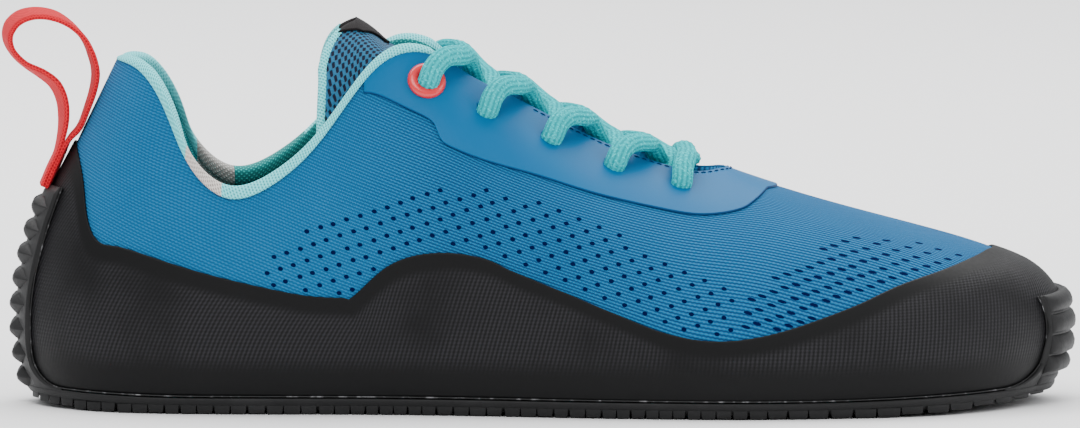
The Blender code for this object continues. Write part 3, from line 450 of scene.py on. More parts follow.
def faces_out(obj):
    """Turns the faces of each loose part of a mesh outwards."""
    bm = bmesh.new()
    bm.from_mesh(obj.data)
    bmesh.ops.recalc_face_normals(bm, faces=bm.faces)
    bm.to_mesh(obj.data)
    bm.free()


def slope_drop(x):
    """How far the knit's lines have fallen by x: steep at the heel, nearly level at the toe."""
    places = np.array([-0.05, 0.02, 0.08, 0.13, 0.17, 0.23])
    slopes = np.array([0.52, 0.40, 0.34, 0.27, 0.17, 0.10])
    fine = np.linspace(-0.05, 0.23, 281)
    total = np.concatenate([[0], np.cumsum(np.interp(fine[1:] - 0.0005, places, slopes) * 0.001)])
    return np.interp(x, fine, total)


def shoe_uv(s, v):
    """Two running lengths on the skin in metres: round the shoe from the ball, and up the rib."""
    grid = skin(s, v)
    middle = int(np.argmin(np.abs(s[:, 0] - knot_of("instep"))))
    half = len(s) // 2
    length = along_rows(grid, middle) + grid[middle, :, 0]
    mirrored = along_rows(grid[::-1], len(s) - 1 - int(np.argmin(np.abs(s[:, 0] - 2 + knot_of("instep")))))
    mirrored = mirrored[::-1] + grid[middle, :, 0]
    length = np.where(np.arange(len(s))[:, None] <= half, length, mirrored)
    return length, across_columns(grid), grid


def vamp_lines(grid, q, length):
    """Turns the knit's lines lengthwise over the forefoot, level with its ridge."""
    x, y, z = grid[..., 0], grid[..., 1], grid[..., 2]
    places = np.linspace(0.08, 0.235, 60)
    ridge = np.array([z[np.abs(x - place) < 0.004].max(initial=0.02) for place in places])
    ridge = np.convolve(np.pad(ridge, 3, mode="edge"), np.ones(7) / 7, mode="valid")
    away = np.hypot(y, np.interp(x, places, ridge) + RIDGE_ROUND - z)
    share = np.clip((x - 0.095) / 0.06, 0, 1)
    share = share * share * (3 - 2 * share)
    near = (np.abs(x - 0.125) < 0.004) & (np.abs(z - 0.038) < 0.004)
    level = float(np.mean((q + away)[near])) - RIDGE_ROUND
    level = RIDGE_ROUND + KNIT_ROW * round(level / KNIT_ROW)
    return q * (1 - share) + (level - away) * share, length * (1 - share) + x * share


# Materials.

class Value:
    """Number in a material's node tree, with plain arithmetic."""

    def __init__(self, look, socket):
        self.look = look
        self.socket = socket

    def __add__(self, other):
        return self.look.m("ADD", self, other)

    def __sub__(self, other):
        return self.look.m("SUBTRACT", self, other)

    def __rsub__(self, other):
        return self.look.m("SUBTRACT", other, self)

    def __mul__(self, other):
        return self.look.m("MULTIPLY", self, other)

    def __truediv__(self, other):
        return self.look.m("DIVIDE", self, other)

    def __pow__(self, other):
        return self.look.m("POWER", self, other)


class Look:
    """Principled material with a few short ways to write its nodes."""

    def __init__(self, name, colour=(0.5, 0.5, 0.5), roughness=0.6, **sockets):
        self.mat = bpy.data.materials.new(name)
        self.mat.use_nodes = True
        self.tree = self.mat.node_tree
        self.shader = self.tree.nodes["Principled BSDF"]
        self.shader.inputs["Base Color"].default_value = (*colour, 1)
        self.shader.inputs["Roughness"].default_value = roughness
        for socket, value in sockets.items():
            self.shader.inputs[socket.replace("_", " ")].default_value = value

    def node(self, kind, **settings):
        made = self.tree.nodes.new(kind)
        for key, value in settings.items():
            setattr(made, key, value)
        return made

    def feed(self, sockets, *values):
        for socket, value in zip(sockets, values):
            if isinstance(value, Value):
                value = value.socket
            if isinstance(value, bpy.types.NodeSocket):
                self.tree.links.new(value, socket)
            elif isinstance(value, tuple):
                socket.default_value = (*value, 1)
            else:
                socket.default_value = value

    def m(self, operation, *values):
        node = self.node("ShaderNodeMath", operation=operation)
        self.feed(node.inputs, *values)
        return Value(self, node.outputs[0])

    def split(self, vector):
        node = self.node("ShaderNodeSeparateXYZ")
        self.feed(node.inputs, vector)
        return [Value(self, socket) for socket in node.outputs]

    def uv(self, layer):
        return self.split(self.node("ShaderNodeUVMap", uv_map=layer).outputs[0])[:2]

    def place(self):
        return self.node("ShaderNodeTexCoord").outputs["Object"]

    def noise(self, scale, detail):
        node = self.node("ShaderNodeTexNoise")
        self.feed([node.inputs[key] for key in ("Vector", "Scale", "Detail")], self.place(), scale, detail)
        return Value(self, node.outputs["Fac"])

    def step(self, value, low, high, out_low=0.0, out_high=1.0):
        node = self.node("ShaderNodeMapRange", interpolation_type="SMOOTHSTEP")
        self.feed(node.inputs, value, low, high, out_low, out_high)
        return Value(self, node.outputs[0])

    def wave(self, length, pitch, shift=0.0):
        """0 to 1 cosine wave along a running length in metres."""
        return self.m("COSINE", length * (2 * math.pi / pitch) + shift) * 0.5 + 0.5

    def half_turns(self, count):
        """Moves every other row of a weave on by half a stitch."""
        return self.m("FLOOR", count) * math.pi

    def mix(self, share, a, b):
        node = self.node("ShaderNodeMix", data_type="RGBA")
        self.feed([node.inputs[key] for key in (0, 6, 7)], share, a, b)
        return node.outputs[2]

    def bump(self, height, distance, strength, after=None):
        node = self.node("ShaderNodeBump")
        self.feed([node.inputs[key] for key in ("Strength", "Distance", "Height")], strength, distance, height)
        if after is not None:
            self.feed([node.inputs["Normal"]], after)
        return node.outputs[0]

    def finish(self, colour, height, distance, strength, rough=None, after=None):
        """Joins colour, bump and roughness to the shader."""
        inputs = self.shader.inputs
        self.feed([inputs["Base Color"]], colour)
        self.feed([inputs["Normal"]], self.bump(height, distance, strength, after))
        if rough is not None:
            self.feed([inputs["Roughness"]], rough)
        return self.mat


def srgb(*levels):
    """Linear colour from 0-255 values."""
    shares = [level / 255 for level in levels]
    return tuple(c / 12.92 if c <= 0.04045 else ((c + 0.055) / 1.055) ** 2.4 for c in shares)


def knit_look():
    k = Look("knit_fabric", roughness=0.9, Sheen_Weight=0.03, Sheen_Roughness=0.5, Specular_IOR_Level=0.12)
    u, q = k.uv("knit")
    x, arc = k.uv("zone")
    ridge = k.wave(q, KNIT_ROW)
    stitch = k.wave(u, KNIT_STITCH, k.half_turns(q / KNIT_ROW + 0.5))
    fuzz = k.noise(1500, 2)
    line = (1.0 - ridge) ** 1.6
    # Painted shade, partly: the grooves between the rows are coloured darker, as the shade that falls in them.
    # From x 0.030 to 0.075 and forward they darken more, where the knit has its own dark mesh pattern.
    groove_shade = line * (k.step(x, 0.030, 0.075) * 0.42 + 0.16) + line * (1.0 - stitch) * 0.66
    loop = ridge * stitch
    light = k.mix(k.noise(60, 3), srgb(22, 100, 148), srgb(30, 112, 160))
    # Painted highlight: the tops of the loops are coloured lighter, as where light catches them.
    light = k.mix(loop * 0.24, light, srgb(60, 146, 192))
    shade = k.mix(groove_shade * 0.95, light, srgb(4, 36, 80))
    shade = k.mix(fuzz * 0.18, shade, srgb(4, 58, 112))
    return k.finish(shade, ridge * 0.7 + loop * 0.6 + fuzz * 0.5, 0.00022, 0.8)


def lining_look(name, light, dark):
    k = Look(name, roughness=0.92, Sheen_Weight=0.1, Specular_IOR_Level=0.2)
    u, q = k.uv("knit")
    cell = k.wave(u + q, 0.0013) * k.wave(u - q, 0.0013)
    return k.finish(k.mix(k.step(cell, 0.35, 0.8), dark, light), cell, 0.0002, 0.7)


def rand_look():
    k = Look("rand_film", roughness=0.5, Specular_IOR_Level=0.17)
    u, arc = k.uv("knit")
    down, up = k.uv("rim")
    patchy = k.noise(34, 3)
    inside = k.step(down, 0.0030, 0.0062) * k.step(up, 0.0050, 0.0120) * k.step(patchy, 0.30, 0.58, 0.30, 1.0)
    cloth = (k.wave(arc * -0.23 + u, 0.00115) * 0.70 + k.wave(arc, 0.00100) * 0.30) * inside
    grain = k.noise(900, 3)
    base = k.mix(patchy, srgb(4, 4, 5), srgb(9, 9, 10))
    # Painted highlight: the raised tops of the moulded cloth texture are coloured lighter, as where light
    # catches them.
    colour = k.mix(cloth ** 1.5 * 0.7, base, srgb(48, 47, 51))
    return k.finish(colour, cloth, 0.00016, 0.85, grain * 0.14 + 0.46, k.bump(grain, 0.00008, 0.35))


def film_look():
    k = Look("eyestay_film", roughness=0.5, Specular_IOR_Level=0.12)
    grain = k.noise(1600, 2)
    down, up = k.uv("rim")
    body = k.mix(k.noise(30, 2), srgb(0, 88, 136), srgb(2, 98, 148))
    # Painted shade: a thin dark line along the film's low edge, where it steps down onto the knit.
    colour = k.mix(k.step(up, 0.00055, 0.00020) * 0.85, body, srgb(2, 48, 92))
    return k.finish(colour, grain, 0.00004, 0.4, grain * 0.12 + 0.38)


def tape_look(name, light, dark):
    k = Look(name, roughness=0.85, Sheen_Weight=0.15, Specular_IOR_Level=0.25)
    along, side = k.uv("knit")
    skew = side * 0.35 + along
    cross = k.wave(side, 0.00090, k.half_turns(skew / 0.00085))
    tone = k.wave(skew, 0.00085) * 0.6 + cross * 0.4 + (k.noise(1400, 2) * 0.3 - 0.15)
    return k.finish(k.mix(k.step(tone, 0.05, 0.7), dark, light), tone, 0.00022, 0.8)


def mesh_look():
    k = Look("tongue_mesh", roughness=0.85, Sheen_Weight=0.1, Specular_IOR_Level=0.2)
    across, along = k.uv("knit")
    across, along = across / 1.35, along / 1.9
    hole = k.step(k.wave(across + along, 0.0010) + k.wave(across - along, 0.0010), 0.98, 1.28)
    fuzz = k.noise(1500, 2)
    thread = k.mix(fuzz, srgb(10, 72, 110), srgb(38, 114, 150))
    # Painted shade: the mesh's holes are coloured near black, as the shade seen down into them.
    return k.finish(k.mix(hole, thread, srgb(2, 10, 36)), fuzz * 0.25 - hole, 0.0005, 0.9)


def label_look():
    k = Look("label_weave", roughness=0.7, Specular_IOR_Level=0.15)
    along, side = k.uv("knit")
    weave = k.wave(along, 0.0005) * k.wave(side, 0.0005)
    return k.finish(k.mix(weave, srgb(8, 7, 9), srgb(40, 32, 32)), weave, 0.0001, 0.6)


def lace_look():
    k = Look("lace_braid", roughness=0.8, Sheen_Weight=0.0, Specular_IOR_Level=0.1)
    turn, along = k.uv("knit")
    ribs = k.wave(turn, 1 / LACE_RIBS)
    plait = k.wave(turn * 0.0090 + along, 0.0011) * k.wave(turn * -0.0090 + along, 0.0011)
    speck = k.step(k.noise(1700, 1), 0.54, 0.66)
    body = k.mix(k.noise(90, 2), srgb(0, 166, 172), srgb(4, 194, 198))
    # Painted shade: the grooves between the braid's ribs are coloured darker.
    body = k.mix((1.0 - ribs) * 0.55, body, srgb(2, 98, 108))
    body = k.mix(speck * 0.50, body, srgb(70, 232, 234))
    return k.finish(body, plait * 0.8 + speck * 0.3, 0.00025, 0.7)


def webbing_look():
    k = Look("loop_webbing", roughness=0.85, Sheen_Weight=0.03, Specular_IOR_Level=0.15)
    along, side = k.uv("knit")
    weft = k.wave(along, 0.0009, k.half_turns(side / 0.0008))
    tone = k.wave(side, 0.0008) * 0.5 + weft * 0.5 + (k.noise(1300, 2) * 0.5 - 0.25)
    return k.finish(k.mix(k.step(tone, 0.0, 0.9), srgb(150, 4, 18), srgb(224, 34, 48)), tone, 0.0002, 0.7)


def rubber_look():
    k = Look("sole_rubber", roughness=0.55, Specular_IOR_Level=0.3)
    grain = k.noise(1100, 3)
    worn = k.step(k.noise(70, 4), 0.52, 0.75)
    base = k.mix(grain, srgb(9, 9, 10), srgb(16, 16, 17))
    return k.finish(k.mix(worn * 0.35, base, srgb(38, 38, 39)), grain, 0.00010, 0.5, grain * 0.2 + 0.45)


def glue_look():
    k = Look("glue_line", roughness=0.6)
    broken = k.step(k.noise(420, 3), 0.52, 0.70)
    k.feed([k.shader.inputs["Base Color"]], k.mix(broken, srgb(10, 10, 11), srgb(112, 112, 114)))
    return k.mat


def plain_look(name, colour, roughness, **sockets):
    k = Look(name, colour, roughness, **sockets)
    grain = k.noise(1200, 2)
    return k.finish(k.mix(grain * 0.25, colour, tuple(c * 0.6 for c in colour)), grain, 0.00005, 0.3)


def eyelet_look():
    k = Look("eyelet_gloss", srgb(214, 26, 36), 0.25, Coat_Weight=0.4, Coat_Roughness=0.15)
    scuff = k.noise(500, 3)
    inputs = k.shader.inputs
    k.feed([inputs["Base Color"]], k.mix(scuff, srgb(200, 18, 30), srgb(226, 34, 44)))
    k.feed([inputs["Roughness"]], scuff * 0.12 + 0.18)
    return k.mat


def insole_look():
    k = Look("insole_cloth", roughness=0.9, Sheen_Weight=0.1)
    x, y, z = k.split(k.place())
    cell = k.wave(x, 0.0011) * k.wave(y, 0.0011)
    return k.finish(k.mix(cell, srgb(58, 60, 66), srgb(104, 108, 114)), cell, 0.0002, 0.6)


# Pieces.

def place_piece(obj, mats, slot, *nodes):
    for mat in mats:
        obj.data.materials.append(mat)
    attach(obj, "root")
    if nodes:
        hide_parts(*nodes)
    return obj


def closed_uv(grid, closed_rows=True):
    """Repeats the first row with its own values so that a closed loft has a last row of its own."""
    grid = np.concatenate([grid, grid[:, :1]], axis=1)
    return np.concatenate([grid, grid[:1]], axis=0) if closed_rows else grid


def sheet_uv(rings, row, column):
    """Lengths along and across an open loft, the first measured from one row down one column."""
    along = along_rows(rings, row)[:, column:column + 1]
    grid = np.stack([np.repeat(along, rings.shape[1], axis=1), across_columns(rings)], axis=-1)
    return closed_uv(grid, False)


def upper():
    """Knitted wall: outer skin, rolled edge and lining in one closed solid."""
    s = RING[:, None]
    low = crossing(RING, RAND_WAVE, GAP + RAND_WALL)[:, None]
    out_v = np.concatenate([low * np.array([0, 0.35, 0.7, 0.88])[None],
                            low + (1 - low) * np.linspace(0, 1, 56)[None]], axis=1)
    in_v = np.linspace(1, 0, 40)[None] * np.ones_like(low)
    s_out, s_in = np.broadcast_to(s, out_v.shape), np.broadcast_to(s, in_v.shape)
    rings = np.concatenate([skin(s_out, out_v), skin(s_in, in_v, -UPPER_WALL)], axis=1)
    v = np.concatenate([out_v, in_v], axis=1)
    length, arc, grid = shoe_uv(np.broadcast_to(s, v.shape), v)
    arc_out = across_columns(skin(s_out, out_v))
    arc_in = across_columns(skin(s_in, in_v))
    arc = np.concatenate([arc_out, arc_in[:, -1:] - arc_in], axis=1)
    q = arc + slope_drop(grid[..., 0])
    q, length = vamp_lines(grid, q, length)
    knit = closed_uv(np.stack([length, q], axis=-1))
    zone = closed_uv(np.stack([grid[..., 0], arc], axis=-1))
    count = out_v.shape[1]
    tags = np.zeros((len(RING), v.shape[1]), int)
    inner_x = skin(s_in, in_v)[..., 0]
    tags[:, count:] = np.where(inner_x < GREY_FRONT_X, np.where(inner_x < GREY_BACK_X, 3, 2), 1)
    tags[:, count - 1] = 0
    obj = loft("upper_knit", rings, True, {"knit": knit, "zone": zone}, tags)
    return place_piece(obj, (KNIT, LINING_TEAL, LINING_GREY, LINING_MINT), "knit", "upper")


def rand():
    top = crossing(RING, RAND_WAVE, GAP + RAND_WALL)[:, None]
    far = np.clip((RING - 1.0) * 30, 0, 1) * np.clip((1.30 - RING) * 12, 0, 1)
    top = top - 0.035 * far[:, None]
    t = np.concatenate([np.linspace(0, 0.9, 30), np.linspace(0.91, 0.985, 8), [0.99, 0.994, 0.998, 1]])
    v = top * t[None]
    s = np.broadcast_to(RING[:, None], v.shape)
    line = skin(s, v, GAP + RAND_WALL)
    arc = across_columns(line)
    down = arc[:, -1:] - arc
    thick = 0.42 + 0.58 * np.clip(down / 0.010, 0, 1)
    thick = thick * (0.35 + 0.65 * np.sqrt(np.clip(down / 0.00035, 0, 1)))
    outer = skin(s, v, GAP + RAND_WALL * thick)
    back = top * np.array([1.0, 0.85, 0.5, 0.0])[None]
    inner = skin(np.broadcast_to(RING[:, None], back.shape), back, GAP * 0.5)
    rings = np.concatenate([outer, inner], axis=1)
    all_v = np.concatenate([v, back], axis=1)
    length, _, grid = shoe_uv(np.broadcast_to(RING[:, None], all_v.shape), all_v)
    arc_all = np.concatenate([arc, np.repeat(arc[:, -1:], 4, axis=1)], axis=1)
    down_all = np.concatenate([down, np.zeros((len(RING), 4))], axis=1)
    knit = closed_uv(np.stack([length, arc_all], axis=-1))
    rim = closed_uv(np.stack([down_all, arc_all], axis=-1))
    obj = loft("rand_film", rings, True, {"knit": knit, "rim": rim})
    return place_piece(obj, (RAND,), "rand_film", "rand")


def eyestay():
    first, last = stay_span()
    s = np.linspace(first, last, 460)
    outside = np.minimum(s, 2 - s) < edge_station(BINDING_END_X)
    low = crossing(s, STAY_EDGE, STAY_GAP + STAY_WALL, downwards=True)
    low = np.minimum(low, arc_rows(s, 0.0045, True))
    top = np.where(outside, arc_rows(s, 0.0009, True), 1.0)
    t = np.concatenate([[0, 0.006, 0.012, 0.02, 0.035, 0.06, 0.09], np.linspace(0.13, 0.9, 18),
                        np.linspace(0.93, 1, 5)])
    v = low[:, None] + (top - low)[:, None] * t[None]
    grid_s = np.broadcast_to(s[:, None], v.shape)
    up = across_columns(skin(grid_s, v, STAY_GAP))
    down = up[:, -1:] - up
    soft = np.sqrt(np.clip(up / 0.00028, 0, 1)) * (0.4 + 0.6 * np.sqrt(np.clip(down / 0.0005, 0, 1)))
    outer = skin(grid_s, v, STAY_RISE * (0.15 + 0.85 * soft))
    inner = skin(grid_s[:, ::-9], v[:, ::-9], 0.00005)
    rings = np.concatenate([outer, inner], axis=1)
    extra = inner.shape[1]
    rim = np.stack([np.concatenate([down, np.zeros((len(s), extra))], axis=1),
                    np.concatenate([up, np.zeros((len(s), extra))], axis=1)], axis=-1)
    rim = closed_uv(rim, False)
    obj = loft("eyestay_film", rings, False, {"rim": rim, "knit": rim})
    return place_piece(obj, (FILM,), "film", "eyestay")


def punch(pieces):
    """Real lace holes through the film and the knit."""
    cutter_points, cutter_faces = [], []
    for number, share in enumerate(LACE_HOLES):
        s, v = hole_place(share)
        radius = EYELET_BORE / 2 + EYELET_TUBE + GAP if number == 0 else LACE_HOLE / 2
        for place in (s, 2 - s):
            point, normal, side, other = local_frame(place, v)
            start = len(cutter_points)
            angles = np.arange(24) * math.pi / 12
            for lift in (-0.006, 0.006):
                for a in angles:
                    cutter_points.append(point + normal * lift
                                         + radius * (math.cos(a) * side + math.sin(a) * other))
            for j in range(24):
                n = (j + 1) % 24
                cutter_faces.append((start + j, start + n, start + 24 + n, start + 24 + j))
            cutter_faces.append(tuple(start + j for j in range(23, -1, -1)))
            cutter_faces.append(tuple(start + 24 + j for j in range(24)))
    cutter = make("punch", np.array(cutter_points), cutter_faces)
    faces_out(cutter)
    for piece in pieces:
        modifier = piece.modifiers.new("hole", "BOOLEAN")
        modifier.operation = "DIFFERENCE"
        modifier.solver = "EXACT"
        modifier.object = cutter
        graph = bpy.context.evaluated_depsgraph_get()
        mesh = bpy.data.meshes.new_from_object(piece.evaluated_get(graph))
        piece.modifiers.clear()
        piece.data = mesh
    bpy.data.objects.remove(cutter)


def hole_place(share):
    """s and v on the outer side where a lace hole lies."""
    x = share * LAST_LENGTH - HEEL_REST
    s = np.linspace(knot_of("waist"), knot_of("toe_quarter"), 300)
    v = arc_rows(s, HOLE_INSET, True)
    found = float(np.interp(x, bare(s, v)[:, 0], s))
    return found, float(arc_rows(found, HOLE_INSET, True)[0])


def local_frame(s, v):
    point = bare(np.array(s), np.array(v))
    normal = normal_at(np.array(s), np.array(v))
    side = unit(np.cross(normal, [0.0, 0.0, 1.0]))
    return point, normal, side, np.cross(normal, side)


def edge_station(x):
    """s on the outer side where the opening's edge reaches x."""
    s = np.linspace(knot_of("collar_front"), knot_of("throat_lower"), 400)
    return float(np.interp(x, around(s)[:, 3], s))


def collar_binding():
    """Soft rolled tape over the collar's edge, from one side of the throat round the heel to the other."""
    corner = edge_station(BINDING_END_X)
    s = np.linspace(-corner, corner, 520)
    ring = np.mod(s, 2.0)
    half = np.abs(s)
    places = [0, knot_of("heel_quarter"), knot_of("heel_side"), knot_of("ankle"), knot_of("corner"), corner]
    width = np.interp(half, places, [0.0003, 0.0015, 0.0026, 0.0024, 0.0021, 0.0011])
    hold = np.interp(half, places, [0.10, 0.60, 1.0, 1.0, 1.0, 0.7])
    fade = np.clip((corner - half) / 0.020, 0.15, 1)
    edge = bare(ring, np.ones_like(ring))
    rise = unit(edge - bare(ring, np.full_like(ring, 0.98)))
    across = normal_at(ring, np.ones_like(ring))
    far = 0.0013 * fade
    rows = []
    for share, puff in ((1.0, 0.25), (0.97, 0.72), (0.8, 0.96), (0.55, 1.02), (0.3, 1.0), (0.1, 0.96)):
        v = arc_rows(ring, width * share, True)
        rows.append(skin(ring, v, far * puff * hold))
    middle = edge - across * UPPER_WALL / 2
    reach = UPPER_WALL / 2 + far
    for out, up in ((0.92, 0.42), (0.62, 0.82), (0.0, 1.0), (-0.62, 0.82), (-0.92, 0.42)):
        pull = np.where(out > 0, hold, 1.0)
        rows.append(middle + across * (reach * pull * out)[:, None] + rise * (far * 1.1 * up)[:, None])
    for share, puff in ((0.1, 1.0), (0.4, 1.0), (0.8, 0.9), (1.0, 0.35)):
        v = arc_rows(ring, 0.0032 * share, True)
        rows.append(skin(ring, v, -UPPER_WALL - far * puff))
    rows.append(skin(ring, arc_rows(ring, 0.0032, True), -UPPER_WALL * 0.9))
    rows.append(skin(ring, arc_rows(ring, width, True), np.full_like(ring, -0.0002)))
    rings = np.stack(rows, axis=1)
    knit = sheet_uv(rings, len(s) // 2, 6)
    x = edge[:, 0]
    grey = (s > 0) & (x > -0.0006) & (x < 0.0086) & (half < 0.33)
    tags = np.zeros((len(s), rings.shape[1]), int)
    tags[grey] = 1
    lining = np.where(x < GREY_FRONT_X, np.where(x < GREY_BACK_X, 0, 2), 3)[:, None]
    tags[:, 9:] = lining
    hidden = (s < 0) & (x > -0.012) & (x < 0.030)
    tags[hidden, 6:9] = lining[hidden]
    obj = loft("collar_tape", rings, False, {"knit": knit}, tags)
    return place_piece(obj, (TAPE, TAPE_GREY, LINING_GREY, LINING_TEAL), "tape", "collar_binding")


def bridge(s, w):
    first, last = around(s)[..., 3:6], around(2 - s)[..., 3:6]
    places = [knot_of(name) for name, crown in CROWN]
    crown = np.interp(s, places, [crown for name, crown in CROWN]) * HALF_BALL
    t = ((np.asarray(w, float) + 1) / 2)[..., None]
    rise = (1 - np.abs(2 * t - 1) ** 2.5) * crown[..., None]
    return first + (last - first) * t + rise * np.array([0.0, 0.0, 1.0])


def instep_bare(s, w):
    s, w = np.broadcast_arrays(np.asarray(s, float), np.asarray(w, float))
    over = np.clip(np.abs(w) - 1, 0, None)
    side = np.where(w < 0, s, 2 - s)
    foot, low, high, edge = handles(side)
    speed = 3 * np.linalg.norm(edge - high, axis=-1)
    down = bare(side, 1 - over * 0.008 / speed)
    return np.where((np.abs(w) <= 1)[..., None], bridge(s, np.clip(w, -1, 1)), down)


def instep_normal(s, w):
    s, w = np.broadcast_arrays(np.asarray(s, float), np.asarray(w, float))
    step = 4e-3
    along = instep_bare(s + step, w) - instep_bare(s - step, w)
    across = instep_bare(s, w + 0.05) - instep_bare(s, w - 0.05)
    return unit(np.cross(along, across))


def instep(s, w, offset):
    s, w = np.broadcast_arrays(np.asarray(s, float), np.asarray(w, float))
    offset = np.broadcast_to(np.asarray(offset, float), s.shape)
    return instep_bare(s, w) + instep_normal(s, w) * offset[..., None]


def tongue_skin(s, w, depth=0.0):
    return instep(s, w, -(UPPER_WALL + BINDING_GAP + BINDING_WALL + GAP) - np.asarray(depth))


def tongue_top(w):
    crest, ears = knot_of("collar_front"), knot_of("waist")
    return crest + (ears - crest) * np.sin(math.pi / 2 * np.minimum(1.15 * np.abs(w), 1)) ** 2


def tongue():
    """Spacer mesh tongue with soft rounded edges."""
    start = knot_of("toe_side")
    toe_rib = handles(np.array(1.0))
    toe_run = unit(toe_rib[2] - toe_rib[3]) * TONGUE_TOE_RUN - np.array([0, 0, GAP])
    w = np.linspace(-TONGUE_TUCK, TONGUE_TUCK, 90)
    share = np.concatenate([np.linspace(0, 0.94, 90), np.linspace(0.95, 1, 8)])
    grids = []
    for side in (0, 1):
        s = start + (tongue_top(w)[:, None] - start) * share[None]
        ww = np.broadcast_to(w[:, None], s.shape)
        round_off = 1 - np.sqrt(np.clip((1 - share) / 0.02, 0, 1))[None]
        depth = 0.0004 + 0.0022 * side + (0.5 - side) * 0.0022 * 0.8 * round_off
        grid = tongue_skin(s, ww, np.broadcast_to(depth, s.shape))
        hidden = grid[:, :1] + toe_run * np.linspace(1, 0.12, 8)[None, :, None]
        grids.append(np.concatenate([hidden, grid], axis=1))
    rings = np.concatenate([grids[0], grids[1][:, ::-1]], axis=1)
    obj = loft("tongue_mesh", rings, False, {"knit": sheet_uv(rings, 45, 40)})
    return place_piece(obj, (MESH,), "mesh", "tongue")


def tube_rings(path, radius, sides, start_side=None):
    path = np.asarray(path)
    ahead = unit(np.gradient(path, axis=0))
    side = unit(np.cross(ahead[0], [0.0, 0.0, 1.0])) if start_side is None else start_side
    radius = np.broadcast_to(radius, len(path))
    rings = []
    for point, direction, r in zip(path, ahead, radius):
        side = unit(side - direction * np.dot(side, direction))
        other = np.cross(direction, side)
        angles = np.arange(sides) * 2 * math.pi / sides
        rings.append([point + r * (math.cos(a) * side + math.sin(a) * other) for a in angles])
    return np.array(rings)


def tube_uv(path, sides, width):
    length = run_of(path)
    u = np.repeat(length[:, None], sides + 1, axis=1)
    v = np.repeat(np.linspace(0, width, sides + 1)[None], len(path), axis=0)
    return np.stack([u, v], axis=-1)


def tongue_trim():
    """Mint tape down both sides of the tongue's top edge, and the dark blank label folded over its crest."""
    for name, first, last in (("tongue_tape_lateral", -TONGUE_TUCK, -0.42),
                              ("tongue_tape_medial", 0.42, TONGUE_TUCK)):
        w = np.linspace(first, last, 80)
        path = tongue_skin(tongue_top(w), w, 0.0015)
        rings = tube_rings(path, 0.00135, 14)
        obj = loft(name, rings, False, {"knit": tube_uv(path, 14, 0.0085)})
        place_piece(obj, (TAPE,), "tape")
    w = np.linspace(-0.47, 0.47, 40)
    top = tongue_top(w)
    edge = tongue_skin(top, w, 0.0015)
    ahead = unit(edge - tongue_skin(top + 0.004, w, 0.0015))
    normal = instep_normal(top + 0.001, w)
    columns = []
    for radius, front, back in ((0.00125, -0.0003, 0.0025), (0.00085, 0.0002, 0.0021)):
        part = [tongue_skin(top + run, w, np.full(len(w), front)) for run in np.linspace(0.052, 0.006, 12)]
        for degrees in (15, 45, 75, 105, 135, 165):
            angle = math.radians(degrees)
            part.append(edge + normal * radius * math.cos(angle) + ahead * radius * math.sin(angle))
        part += [tongue_skin(top + run, w, np.full(len(w), back)) for run in (0.001, 0.0028)]
        columns.append(part)
    rings = np.stack(columns[0] + columns[1][::-1], axis=1)
    obj = loft("tongue_label", rings, False, {"knit": sheet_uv(rings, 20, 5)})
    place_piece(obj, (LABEL,), "label", "tongue_label")


def oval_tube(name, path, normals, squeeze):
    """Braided oval cord along a path; squeeze flattens it where it is hidden."""
    ahead = unit(np.gradient(path, axis=0))
    raw = np.cross(ahead, normals)
    weight = np.linalg.norm(raw, axis=1)
    sides = np.zeros_like(raw)
    first = int(np.argmax(weight > 0.8))
    sides[first] = unit(raw[first])
    for order in (range(first + 1, len(path)), range(first - 1, -1, -1)):
        before = sides[first]
        for i in order:
            moved = unit(before - ahead[i] * np.dot(before, ahead[i]))
            own = unit(raw[i])
            pull = np.clip((weight[i] - 0.35) / 0.4, 0, 1) * 0.35
            if np.dot(own, moved) < 0:
                own = -own
            before = unit(moved * (1 - pull) + own * pull)
            before = unit(before - ahead[i] * np.dot(before, ahead[i]))
            sides[i] = before
    others = np.cross(ahead, sides)
    count = 48
    angles = np.arange(count) * 2 * math.pi / count
    ribs = 1 + 0.035 * np.cos(LACE_RIBS * angles)
    a = LACE_WIDTH / 2 * np.cos(angles) * ribs
    b = LACE_DEPTH / 2 * np.sin(angles) * ribs
    rings = (path[:, None] + sides[:, None] * a[None, :, None]
             + others[:, None] * b[None, :, None] * squeeze[:, None, None])
    length = run_of(path)
    turn = np.repeat(np.linspace(0, 1, count + 1)[None], len(path), axis=0)
    knit = np.stack([turn, np.repeat(length[:, None], count + 1, axis=1)], axis=-1)
    return loft(name, rings, False, {"knit": knit})


def lay_cord(name, table):
    """Cord through (s, place across, height in mm) points."""
    table = np.array(table)
    fine = smooth_line(table, 14)
    path = instep(fine[:, 0], fine[:, 1], fine[:, 2] / 1000)
    for _ in range(6):
        path[1:-1] = path[1:-1] * 0.5 + (path[:-2] + path[2:]) * 0.25
    length = run_of(path)
    even = np.linspace(0, length[-1], int(length[-1] / 0.0006))
    path = np.stack([np.interp(even, length, path[:, c]) for c in range(3)], axis=1)
    row = np.interp(even, length, np.arange(len(fine)))
    at = np.stack([np.interp(row, np.arange(len(fine)), fine[:, c]) for c in range(3)], axis=1)
    normals = instep_normal(at[:, 0], at[:, 1])
    hidden = (np.abs(at[:, 1]) > 0.92) & (at[:, 2] < -1.5)
    squeeze = np.where(hidden, 0.5, 1.0)
    squeeze = np.convolve(np.pad(squeeze, 6, mode="edge"), np.ones(13) / 13, mode="valid")
    return oval_tube(name, path, normals, squeeze)


